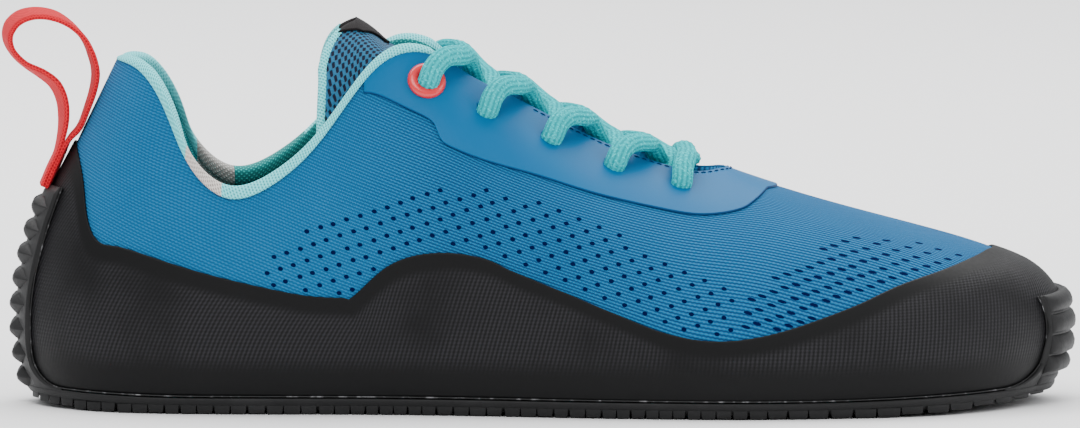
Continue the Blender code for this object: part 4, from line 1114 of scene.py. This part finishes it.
def laces():
    places = [hole_place(share)[0] for share in LACE_HOLES]
    for k, here in enumerate(places[:-1]):
        step = places[k + 1] - here
        reach = LAST_REACH if k == len(places) - 2 else 1.0
        for over, sign in ((False, 1), (True, -1)):
            table = []
            for share, w, low, high in STRAND:
                far = 1 + (reach - 1) * np.clip((w + 1.5) / 1.5, 0, 1) * np.clip((1.9 - w) / 0.6, 0, 1)
                height = high if over else low
                if w * sign > 0.2 and height > 3.0:
                    height = 2.6 + (height - 3.0) * 0.2
                table.append((here + step * share * far, w * sign, height))
            obj = lay_cord(f"lace_{k + 1}_{'over' if over else 'under'}", table)
            place_piece(obj, (LACE,), "lace", f"lace_cross_{k + 1}")
    table = [(places[4] + BAR_BOW * max(0.0, 1 - abs(w) / 2) * 0.9, w, h) for w, h in BAR]
    place_piece(lay_cord("lace_bar", table), (LACE,), "lace", "lace_bar_5")


def lathe(name, place, profile, segments):
    point, normal, side, other = place
    rings = []
    for k in range(segments):
        angle = 2 * math.pi * k / segments
        spoke = math.cos(angle) * side + math.sin(angle) * other
        rings.append([point + spoke * r + normal * h for r, h in profile])
    return loft(name, np.array(rings), True)


def eyelets():
    s, v = hole_place(LACE_HOLES[0])
    base = STAY_RISE - 0.0001
    bore, outer = EYELET_BORE / 2, EYELET_OUTER / 2
    middle, reach = (bore + outer) / 2, (outer - bore) / 2
    profile = [(outer, base)]
    for a in np.linspace(0.12, math.pi - 0.25, 10):
        profile.append((middle + reach * math.cos(a), base + EYELET_FLANGE * math.sin(a) ** 0.8))
    profile += [(bore, -UPPER_WALL * 0.9), (bore + EYELET_TUBE, -UPPER_WALL * 0.9), (bore + EYELET_TUBE, base)]
    for name, place in (("eyelet_lateral", s), ("eyelet_medial", 2 - s)):
        obj = lathe(name + "_ring", local_frame(place, v), profile, 56)
        place_piece(obj, (EYELET,), "eyelet", name)


def from_picture(x, y):
    """Point of the shoe's middle plane that a photo pixel shows."""
    up = (PHOTO_HEIGHT / 2 - y) * PIXEL + MIDDLE_UP
    return np.array([(x - PHOTO_WIDTH / 2) * PIXEL + MIDDLE_X, 0.0, up / math.cos(ELEVATION)])


def pull_loop():
    """Webbing folded into a twisted loop, both ends sewn flat on the heel."""
    offset = GAP + RAND_WALL + LOOP_THICKNESS / 2 + 0.0001
    start = HEEL_STRIP_HEIGHT - 0.0018
    ends = []
    for lift, ups in ((offset, (0.0, 0.005, 0.010, 0.014)), (offset + LOOP_THICKNESS + 0.0001, (0.0, 0.005))):
        ends.append([skin(0.0, float(arc_rows(0.0, start + up, False)[0]), lift) for up in ups])
    front, back = ends
    free = [from_picture(x, y) for x, y, twist in PULL_LOOP]
    line = smooth_line(back + free + front[::-1], 8)
    for _ in range(5):
        line[1:-1] = line[1:-1] * 0.5 + (line[:-2] + line[2:]) * 0.25
    twists = [4, 4] + [twist for x, y, twist in PULL_LOOP] + [0, 3, 4, 4]
    turn = np.interp(np.linspace(0, len(twists) - 1, len(line)), np.arange(len(twists)), twists)
    ahead = unit(np.gradient(line, axis=0))
    half_w, half_t = LOOP_WIDTH / 2, LOOP_THICKNESS / 2
    section = []
    for x in np.linspace(0.96, -0.96, 9):
        section.append((x * half_w, half_t * (1 - 0.25 * abs(x) ** 4)))
    section.append((-half_w, 0.0))
    section += [(-x, -y) for x, y in section[:9]]
    section.append((half_w, 0.0))
    rings = []
    for point, direction, degrees in zip(line, ahead, np.radians(turn)):
        across = np.array([0.0, 1.0, 0.0])
        face = np.cross(direction, across)
        a = across * math.cos(degrees) + face * math.sin(degrees)
        f = face * math.cos(degrees) - across * math.sin(degrees)
        rings.append([point + a * x + f * y for x, y in section])
    rings = np.array(rings)
    obj = loft("loop_webbing", rings, False, {"knit": sheet_uv(rings, 0, 4)})
    place_piece(obj, (WEBBING,), "webbing", "pull_loop")


def insole():
    clear = -(UPPER_WALL + GAP)
    s = ring_stations(90)
    foot = around(s)[:, :3]
    out = outward(s)
    centre = (foot + around((2 - s) % 2)[:, :3]) / 2
    rings = []
    for depth, height in ((clear, 0.0), (clear, INSOLE_WALL + 0.0012), (clear - 0.0012, INSOLE_WALL + 0.0010),
                          (clear - 0.004, INSOLE_WALL)):
        ring = foot + out * depth
        ring[:, 2] += height
        rings.append(ring)
    for share in (0.3, 0.6, 0.999):
        ring = rings[3] + (centre - rings[3]) * share
        ring[:, 2] = rings[3][:, 2] - 0.0004 * share
        rings.append(ring)
    bottom = rings[0] + (centre - rings[0]) * 0.999
    bottom[:, 2] = rings[0][:, 2]
    rings.append(bottom)
    obj = loft("insole_board", np.stack(rings, axis=1), True)
    return place_piece(obj, (INSOLE,), "foam", "insole")


# The outsole.

def level_ring(ring, offset, height):
    foot = around(ring)[:, :3]
    points = foot + outward(ring) * np.asarray(offset).reshape(-1, 1)
    points[:, 2] += height
    return points


BLOCK = ((0.0, 1.0), (0.60, 0.97), (0.88, 0.93), (1.0, 0.82))
PYRAMID = ((0.0, 1.0), (0.42, 0.76), (0.80, 0.44), (1.0, 0.20))


def frustum(points, faces, corners, shift, levels):
    """Lug on a ring of corners, narrowing level by level along a shift."""
    corners = np.array(corners)
    centre = corners.mean(axis=0)
    start = len(points)
    count = len(corners)
    for share, size in levels:
        for corner in corners:
            points.append(centre + (corner - centre) * size + shift * share)
    for level in range(len(levels) - 1):
        for k in range(count):
            n = (k + 1) % count
            a = start + level * count
            faces.append((a + k, a + n, a + count + n, a + count + k))
    faces.append(tuple(start + (len(levels) - 1) * count + k for k in range(count)))
    faces.append(tuple(start + k for k in range(count - 1, -1, -1)))


def foot_run():
    """s, and the length round the foot line from the heel, on the outer side."""
    s = np.linspace(0, 1, 1601)
    return s, run_of(around(s)[:, :3])


FOOT_S, FOOT_RUN = foot_run()
SEAT = GAP + RAND_WALL + GAP


def beyond(s):
    """Lengths round the foot line from the edge of the heel web and of the toe web, negative inside."""
    half = np.mod(np.asarray(s, float), 2.0)
    run = np.interp(np.minimum(half, 2 - half), FOOT_S, FOOT_RUN)
    return run - HEEL_STRIP_WIDTH / 2, FOOT_RUN[-1] - run - TOE_STRIP_WIDTH / 2


def from_web(end, d):
    """s on the outer side at a length out from the edge of the heel web or of the toe web."""
    run = HEEL_STRIP_WIDTH / 2 + d if end == "heel" else FOOT_RUN[-1] - TOE_STRIP_WIDTH / 2 - d
    return np.interp(run, FOOT_RUN, FOOT_S)


def web_edge(end):
    return float(from_web(end, 0.0))


def web_wall(s, arc):
    """Thickness of the sole's upturned edge."""
    heel, toe = beyond(s)
    share = np.maximum(np.clip(1 - heel / HEEL_FILLET[0], 0, 1), np.clip(1 - toe / TOE_FILLET[0], 0, 1))
    wall = SOLE_LEDGE + (STRIP_WALL - SOLE_LEDGE) * share
    middle = np.clip(-toe / (TOE_STRIP_WIDTH / 2), 0, 1)
    low = np.clip(1 - np.asarray(arc) / TOE_STRIP_HEIGHT, 0, 1)
    return wall + TOE_SWELL * low ** 1.3 * (1 - (1 - middle) ** 2)


def heel_rise(x):
    return 0.0018 * np.clip((-0.020 - x) / 0.022, 0, 1) ** 1.5


def toe_rise(x):
    return 0.0026 * np.clip((x - 0.172) / 0.050, 0, 1) ** 1.6


def sole_point(s, arc, lift):
    """Point at a length up the sole's edge; below the foot line it goes straight down."""
    s, arc = np.broadcast_arrays(np.asarray(s, float), np.asarray(arc, float))
    v = arc_rows(s.ravel(), np.maximum(arc.ravel(), 0), False, SEAT).reshape(s.shape)
    point = skin(s, v, SEAT + lift)
    point[..., 2] += np.minimum(arc, 0)
    return point


def outsole_plate():
    """Moulded plate with a rounded rim, thicker at the heel and toe."""
    out = SEAT + web_wall(RING, 0.0)
    count = len(RING)
    rows = [(SEAT - 0.0006 + 0 * out, -GAP), (out - 0.0001, -GAP), (out, -GAP - 0.0005),
            (out - 0.0002, -GAP - 0.0013), (out - 0.0008, -GAP - 0.0021), (out - 0.0015, -0.0028),
            (out - SOLE_ROUND, -0.0034), (out - 0.0034, -0.0036), (out - 0.0058, -0.0036),
            (out - 0.0064, -SOLE_PLATE)]
    rings = [level_ring(RING, o, h) for o, h in rows]
    for number, ring in enumerate(rings[4:], 4):
        floor = RIM_FLOOR + heel_rise(ring[:, 0]) + toe_rise(ring[:, 0])
        ring[:, 2] = floor if number in (7, 8) else np.maximum(ring[:, 2], floor)
    rings[-1][:, 2] = LUG_HEIGHT + toe_rise(rings[-1][:, 0]) * 0.5
    centre = (rings[-1] + rings[-1][(-np.arange(count)) % count]) / 2
    rings.append(rings[-1] + (centre - rings[-1]) * 0.5)
    rings.append(rings[-1] + (centre - rings[-1]) * 0.995)
    roof = rings[0] + (centre - rings[0]) * 0.995
    roof[:, 2] = rings[0][:, 2]
    rings.append(roof)
    return np.stack(rings, axis=1)


def lip(name, s, height):
    """Upturned edge of the sole between two stations, as high as asked at each."""
    t = np.linspace(0, 1, 25)[None]
    arc = height[:, None] * t
    grid_s = np.broadcast_to(s[:, None], arc.shape)
    wall = web_wall(grid_s, arc)
    left = np.clip((height[:, None] - arc) / 0.0006, 0, 1)
    outer = sole_point(grid_s, arc, wall * (0.45 + 0.55 * np.sqrt(left)))
    inner = sole_point(grid_s, arc, -0.0004)
    low = sole_point(s, np.full(len(s), -0.0012), wall[:, 0] - 0.0001)
    rings = np.concatenate([low[:, None], outer, inner[:, ::-1]], axis=1)
    place_piece(loft(name, rings, False), (RUBBER,), "rubber")


def fillet_height(d, size):
    """Height of the edge line where the web runs out into the sole's rim."""
    return size[1] * (1 - np.sqrt(np.clip(1 - (1 - np.clip(d / size[0], 0, 1)) ** 2, 0, 1))) + 0.0001


def webs():
    heel, toe = web_edge("heel"), web_edge("toe")
    for name, first, last, height in (("heel_web", -heel, heel, HEEL_STRIP_HEIGHT),
                                      ("toe_web", toe, 2 - toe, TOE_STRIP_HEIGHT)):
        s = np.linspace(first, last, 33)
        lip(name, s, np.full(33, height))
    for end, fillet in (("heel", HEEL_FILLET), ("toe", TOE_FILLET)):
        d = np.linspace(-0.0004, fillet[0], 30)
        s = from_web(end, d)
        lip(end + "_corner_lateral", s, fillet_height(d, fillet))
        lip(end + "_corner_medial", 2 - s, fillet_height(d, fillet))


def heel_lugs():
    """Two columns of faceted pyramids up the heel, with their points to the sides."""
    heel = web_edge("heel")
    points, faces = [], []
    for sign in (-1, 1):
        for row in range(HEEL_LUG_ROWS):
            low = HEEL_LUG_START + HEEL_LUG_PITCH * (row + 0.03)
            high = HEEL_LUG_START + HEEL_LUG_PITCH * (row + 0.97)
            middle = (low + high) / 2
            ss = np.array([0.02, 0.02, 0.50, 0.94, 0.50]) * heel * sign
            arcs = np.array([low, high, high, middle, low])
            corners = sole_point(ss, arcs, web_wall(ss, np.maximum(arcs, 0)) * 0.85)
            inner = sole_point(ss, arcs, 0.0)
            shift = unit((corners - inner).mean(axis=0))
            frustum(points, faces, corners, shift * HEEL_LUG, PYRAMID)
    finish_lugs("heel_lugs", points, faces)


def toe_ribs():
    """Level ribs round the toe, each lofted from one web edge to the other."""
    toe = web_edge("toe")
    s = np.linspace(toe + 0.0008, 2 - toe - 0.0008, 41)
    ends = np.clip(np.minimum(s - s[0], s[-1] - s) / 0.006, 0, 1)
    taper = 0.30 + 0.70 * np.sqrt(ends)
    for number, (low, high, lift) in enumerate(TOE_RIBS):
        span = (high - low) / 1000
        columns = []
        for share, up in ((0.0, 0.0), (0.10, 0.55), (0.24, 0.92), (0.42, 1.0), (0.62, 0.95), (0.84, 0.62),
                          (0.97, 0.18), (1.0, 0.0)):
            arc = np.full(len(s), low / 1000 + span * share)
            columns.append(sole_point(s, arc, web_wall(s, np.maximum(arc, 0)) * 0.9 + lift / 1000 * up * taper))
        for share in (1.0, 0.0):
            columns.append(sole_point(s, np.full(len(s), low / 1000 + span * share), 0.0004))
        place_piece(loft(f"toe_rib_{number + 1}", np.stack(columns, axis=1), False), (RUBBER,), "rubber")


def bottom_lugs():
    """Low irregular blocks along both rims, and a chequered field between them."""
    points, faces = [], []
    s = np.linspace(0.022, 0.978, 62)
    near = level_ring(s, SEAT + web_wall(s, 0.0) - 0.0006, 0.0)
    far = level_ring(2 - s, SEAT + web_wall(2 - s, 0.0) - 0.0006, 0.0)
    shares = (0.0, 0.075, 0.19, 0.31, 0.435, 0.565, 0.69, 0.81, 0.925, 1.0)
    for i in range(len(s) - 1):
        for j in range(len(shares) - 1):
            rim = j in (0, len(shares) - 2)
            if (i + j) % 2 and not rim:
                continue
            start, end = (i + 0.08, i + 0.92)
            if rim:
                start, end = i + 0.02 + 0.05 * (i % 3 == 1), i + 0.98 - 0.07 * (i % 4 == 2)
            corners = []
            ahead, behind = shares[j], shares[j + 1]
            for row, share in ((start, ahead), (end, ahead), (end, behind), (start, behind)):
                a = near[i] + (near[i + 1] - near[i]) * (row - i)
                b = far[i] + (far[i + 1] - far[i]) * (row - i)
                inset = 0.0 if rim else 0.008
                corners.append(a + (b - a) * (share + (inset if share < 0.5 else -inset)))
            corners = np.array(corners)
            x = corners[:, 0].mean()
            top = LUG_HEIGHT + 0.0006
            floor = heel_rise(x) + toe_rise(x) + (0.0003 * ((i * 7) % 3 == 0) if rim else 0.0)
            corners[:, 2] = top + floor * 0.6
            frustum(points, faces, corners, np.array([0, 0, -(top + floor * 0.6 - floor - 0.00002)]), BLOCK)
    finish_lugs("bottom_lugs", points, faces)


def outsole():
    place_piece(loft("outsole_plate", outsole_plate(), True), (RUBBER,), "rubber", "outsole")
    webs()
    heel_lugs()
    toe_ribs()
    bottom_lugs()
    glue_lines()


def finish_lugs(name, points, faces):
    obj = make(name, np.array(points), faces, smooth=True)
    faces_out(obj)
    bevel = obj.modifiers.new("round", "BEVEL")
    bevel.width = 0.00025
    bevel.segments = 2
    bevel.limit_method = "ANGLE"
    bevel.angle_limit = math.radians(28)
    place_piece(obj, (RUBBER,), "rubber")


def glue_lines():
    """Thin broken flash along the whole parting line, up beside both webs."""
    for name, mirrored in (("flash_line_lateral", False), ("flash_line_medial", True)):
        heel, toe = web_edge("heel"), web_edge("toe")
        parts = [(np.full(40, heel), np.linspace(HEEL_STRIP_HEIGHT, HEEL_FILLET[1], 40))]
        d = np.linspace(0, HEEL_FILLET[0], 40)[1:]
        parts.append((from_web("heel", d), fillet_height(d, HEEL_FILLET)))
        stop = float(from_web("toe", TOE_FILLET[0]))
        parts.append((np.linspace(parts[1][0][-1], stop, 260)[1:-1], np.full(258, 0.0001)))
        d = np.linspace(TOE_FILLET[0], 0, 40)
        parts.append((from_web("toe", d), fillet_height(d, TOE_FILLET)))
        parts.append((np.full(30, toe), np.linspace(TOE_FILLET[1], TOE_STRIP_HEIGHT, 31)[1:]))
        s = np.concatenate([part[0] for part in parts])
        arc = np.concatenate([part[1] for part in parts])
        line = sole_point(2 - s if mirrored else s, arc + 0.0001, 0.00005)
        place_piece(loft(name, tube_rings(line, 0.00020, 6), False), (GLUE,), "rubber")


def stitches(name, line, normals, length, pitch, radius, mat, slot):
    """Row of short raised stitches along a line."""
    run = run_of(line)
    points, faces = [], []
    for start in np.arange(pitch, run[-1] - pitch, pitch):
        path = []
        for share in np.linspace(0, 1, 5):
            at = start + length * share
            point = np.array([np.interp(at, run, line[:, c]) for c in range(3)])
            normal = unit(np.array([np.interp(at, run, normals[:, c]) for c in range(3)]))
            path.append(point + normal * radius * (1.1 * math.sin(math.pi * share) - 0.2))
        rings = tube_rings(np.array(path), radius * np.array([0.5, 0.95, 1.0, 0.95, 0.5]), 6)
        base = len(points)
        points.extend(rings.reshape(-1, 3))
        for i in range(4):
            for j in range(6):
                n = (j + 1) % 6
                a, b = base + i * 6, base + (i + 1) * 6
                faces.append((a + j, b + j, b + n, a + n))
        faces.append(tuple(base + j for j in range(6)))
        faces.append(tuple(base + 24 + j for j in range(5, -1, -1)))
    obj = make(name, np.array(points), faces)
    faces_out(obj)
    place_piece(obj, (mat,), slot)


def seams():
    """Stitching round the throat's edge."""
    s = np.linspace(knot_of("instep") + 0.01, 2 - knot_of("instep") - 0.01, 420)
    v = arc_rows(s, 0.0016, True)
    stitches("throat_stitching", skin(s, v, STAY_RISE), normal_at(s, v), 0.0015, 0.0021, 0.00018,
             THREAD, "film")


def to_picture(points):
    x = (points[..., 0] - MIDDLE_X) / PIXEL + PHOTO_WIDTH / 2
    y = PHOTO_HEIGHT / 2 - (points @ VIEW_UP - MIDDLE_UP) / PIXEL
    return np.stack([x, y], axis=-1)


def inside(polygon, points):
    """Which points lie in a polygon, by counting crossings."""
    polygon = np.asarray(polygon, float)
    result = np.zeros(len(points), bool)
    for (x1, y1), (x2, y2) in zip(polygon, np.roll(polygon, -1, axis=0)):
        crosses = (y1 > points[:, 1]) != (y2 > points[:, 1])
        at = x1 + (points[:, 1] - y1) * (x2 - x1) / ((y2 - y1) if y2 != y1 else 1e-9)
        result ^= crosses & (points[:, 0] < at)
    return result


def perforations():
    """Small knitted holes, drawn as flat dark eyes whose near-black colour is painted shade, the shade seen
    down each hole; the same rows lie on the inner side.
    """
    s = np.linspace(0.08, 0.97, 500)
    v = np.linspace(0.2, 0.985, 170)
    grid_s, grid_v = np.meshgrid(s, v, indexing="ij")
    seen = to_picture(skin(grid_s, grid_v)).reshape(-1, 2)
    flat_s, flat_v = grid_s.ravel(), grid_v.ravel()
    rand_top = crossing(s, RAND_WAVE, GAP + RAND_WALL)
    centres = []
    for start, step_a, step_b, size, field in DOT_FIELDS:
        i, j = np.meshgrid(np.arange(-60, 61), np.arange(-30, 31), indexing="ij")
        dots = np.array(start) + i[..., None] * np.array(step_a) + j[..., None] * np.array(step_b)
        dots = dots.reshape(-1, 2)
        dots = dots[inside(field, dots)]
        for dot in dots:
            nearest = int(np.argmin(np.sum((seen - dot) ** 2, axis=1)))
            place_s, place_v = flat_s[nearest], flat_v[nearest]
            if np.sum((seen[nearest] - dot) ** 2) > 4:
                continue
            spare = np.interp(place_s, s, rand_top)
            if place_v < spare + 0.012:
                continue
            centres.append((place_s, place_v, size / 1000, 1.12 if start[0] < 700 else 1.65))
    points, faces = [], []
    for place_s, place_v, size, long in centres:
        for mirrored in (place_s, 2 - place_s):
            point, normal, side, other = local_frame(mirrored, place_v)
            tilt = side * math.cos(0.3) - other * math.sin(0.3)
            cross = np.cross(normal, tilt)
            base = len(points)
            points.append(point + normal * 0.00002)
            for radius, lift in ((0.62, 0.00003), (1.0, 0.00006)):
                for a in np.arange(10) * math.pi / 5:
                    points.append(point + normal * lift
                                  + size * radius * (math.cos(a) * tilt * long + math.sin(a) * cross / long))
            for k in range(10):
                n = (k + 1) % 10
                faces.append((base, base + 1 + k, base + 1 + n))
                faces.append((base + 1 + k, base + 11 + k, base + 11 + n, base + 1 + n))
    obj = make("knit_perforations", np.array(points), faces)
    place_piece(obj, (EYE,), "knit")


# Camera, light, floor.

def camera():
    data = bpy.data.cameras.new("camera")
    data.lens = LENS
    data.sensor_width = SENSOR
    data.clip_start = 0.05
    data.clip_end = 200
    cam = bpy.data.objects.new("camera", data)
    bpy.context.collection.objects.link(cam)
    half = PHOTO_WIDTH * PIXEL / 2
    distance = half / (SENSOR / 2 / LENS)
    back = np.array([0.0, -math.cos(ELEVATION), math.sin(ELEVATION)])
    target = np.array([MIDDLE_X, 0.0, 0.0]) + VIEW_UP * MIDDLE_UP
    cam.location = target + back * distance
    cam.rotation_euler = (math.pi / 2 - ELEVATION, 0, 0)
    bpy.context.scene.camera = cam


def area(name, place, aim, size, power, colour=(1, 1, 1)):
    data = bpy.data.lights.new(name, "AREA")
    data.shape = "RECTANGLE"
    data.size, data.size_y = size
    data.energy = power
    data.color = colour
    light = bpy.data.objects.new(name, data)
    bpy.context.collection.objects.link(light)
    light.location = place
    direction = np.array(aim, float) - np.array(place, float)
    light.rotation_euler = Vector(direction).to_track_quat("-Z", "Y").to_euler()


def surroundings():
    world = bpy.data.worlds.new("studio")
    bpy.context.scene.world = world
    world.use_nodes = True
    world.node_tree.nodes["Background"].inputs[0].default_value = (0.97, 0.98, 1.0, 1)
    world.node_tree.nodes["Background"].inputs[1].default_value = 0.9
    area("key_light", (-0.15, -0.9, 1.1), (0.09, 0.0, 0.04), (0.9, 0.6), 9.0)
    area("top_light", (0.10, 0.80, 1.5), (0.10, 0.80, 0.0), (2.6, 1.6), 62.0)
    area("toe_light", (1.1, -0.5, 0.5), (0.15, 0.0, 0.04), (0.5, 0.6), 3.5)
    count = 48
    ring = [(60 * math.cos(a), 60 * math.sin(a), 0.0) for a in np.arange(count) * 2 * math.pi / count]
    floor = make("floor", ring, [tuple(range(count))], smooth=False)
    floor_look = Look("floor_paper", (0.86, 0.86, 0.86), 0.75, Specular_IOR_Level=0.2)
    shade = floor_look.mix(floor_look.noise(300, 2), (0.93, 0.93, 0.935), (0.945, 0.945, 0.945))
    floor_look.feed([floor_look.shader.inputs["Base Color"]], shade)
    floor.data.materials.append(floor_look.mat)


KNIT = knit_look()
LINING_TEAL = lining_look("lining_teal", srgb(60, 196, 186), srgb(16, 120, 120))
LINING_GREY = lining_look("lining_grey", srgb(214, 210, 206), srgb(150, 146, 142))
LINING_MINT = lining_look("lining_mint", srgb(120, 236, 236), srgb(40, 160, 168))
RAND = rand_look()
FILM = film_look()
TAPE = tape_look("tape_mint", srgb(120, 240, 244), srgb(34, 156, 166))
TAPE_GREY = tape_look("tape_grey", srgb(224, 216, 208), srgb(140, 132, 128))
MESH = mesh_look()
LABEL = label_look()
LACE = lace_look()
WEBBING = webbing_look()
RUBBER = rubber_look()
GLUE = glue_look()
EYELET = eyelet_look()
INSOLE = insole_look()
# Painted shade: near-black discs stand in for the shade seen down the knit's holes.
EYE = plain_look("painted_hole_shade", srgb(0, 12, 58), 0.9, Specular_IOR_Level=0.05)
THREAD = plain_look("thread_blue", srgb(4, 44, 88), 0.7, Specular_IOR_Level=0.1)


def build():
    camera()
    surroundings()
    outsole()
    insole()
    body = upper()
    rand()
    stay = eyestay()
    punch((body, stay))
    collar_binding()
    tongue()
    tongue_trim()
    laces()
    eyelets()
    pull_loop()
    seams()
    perforations()


build()
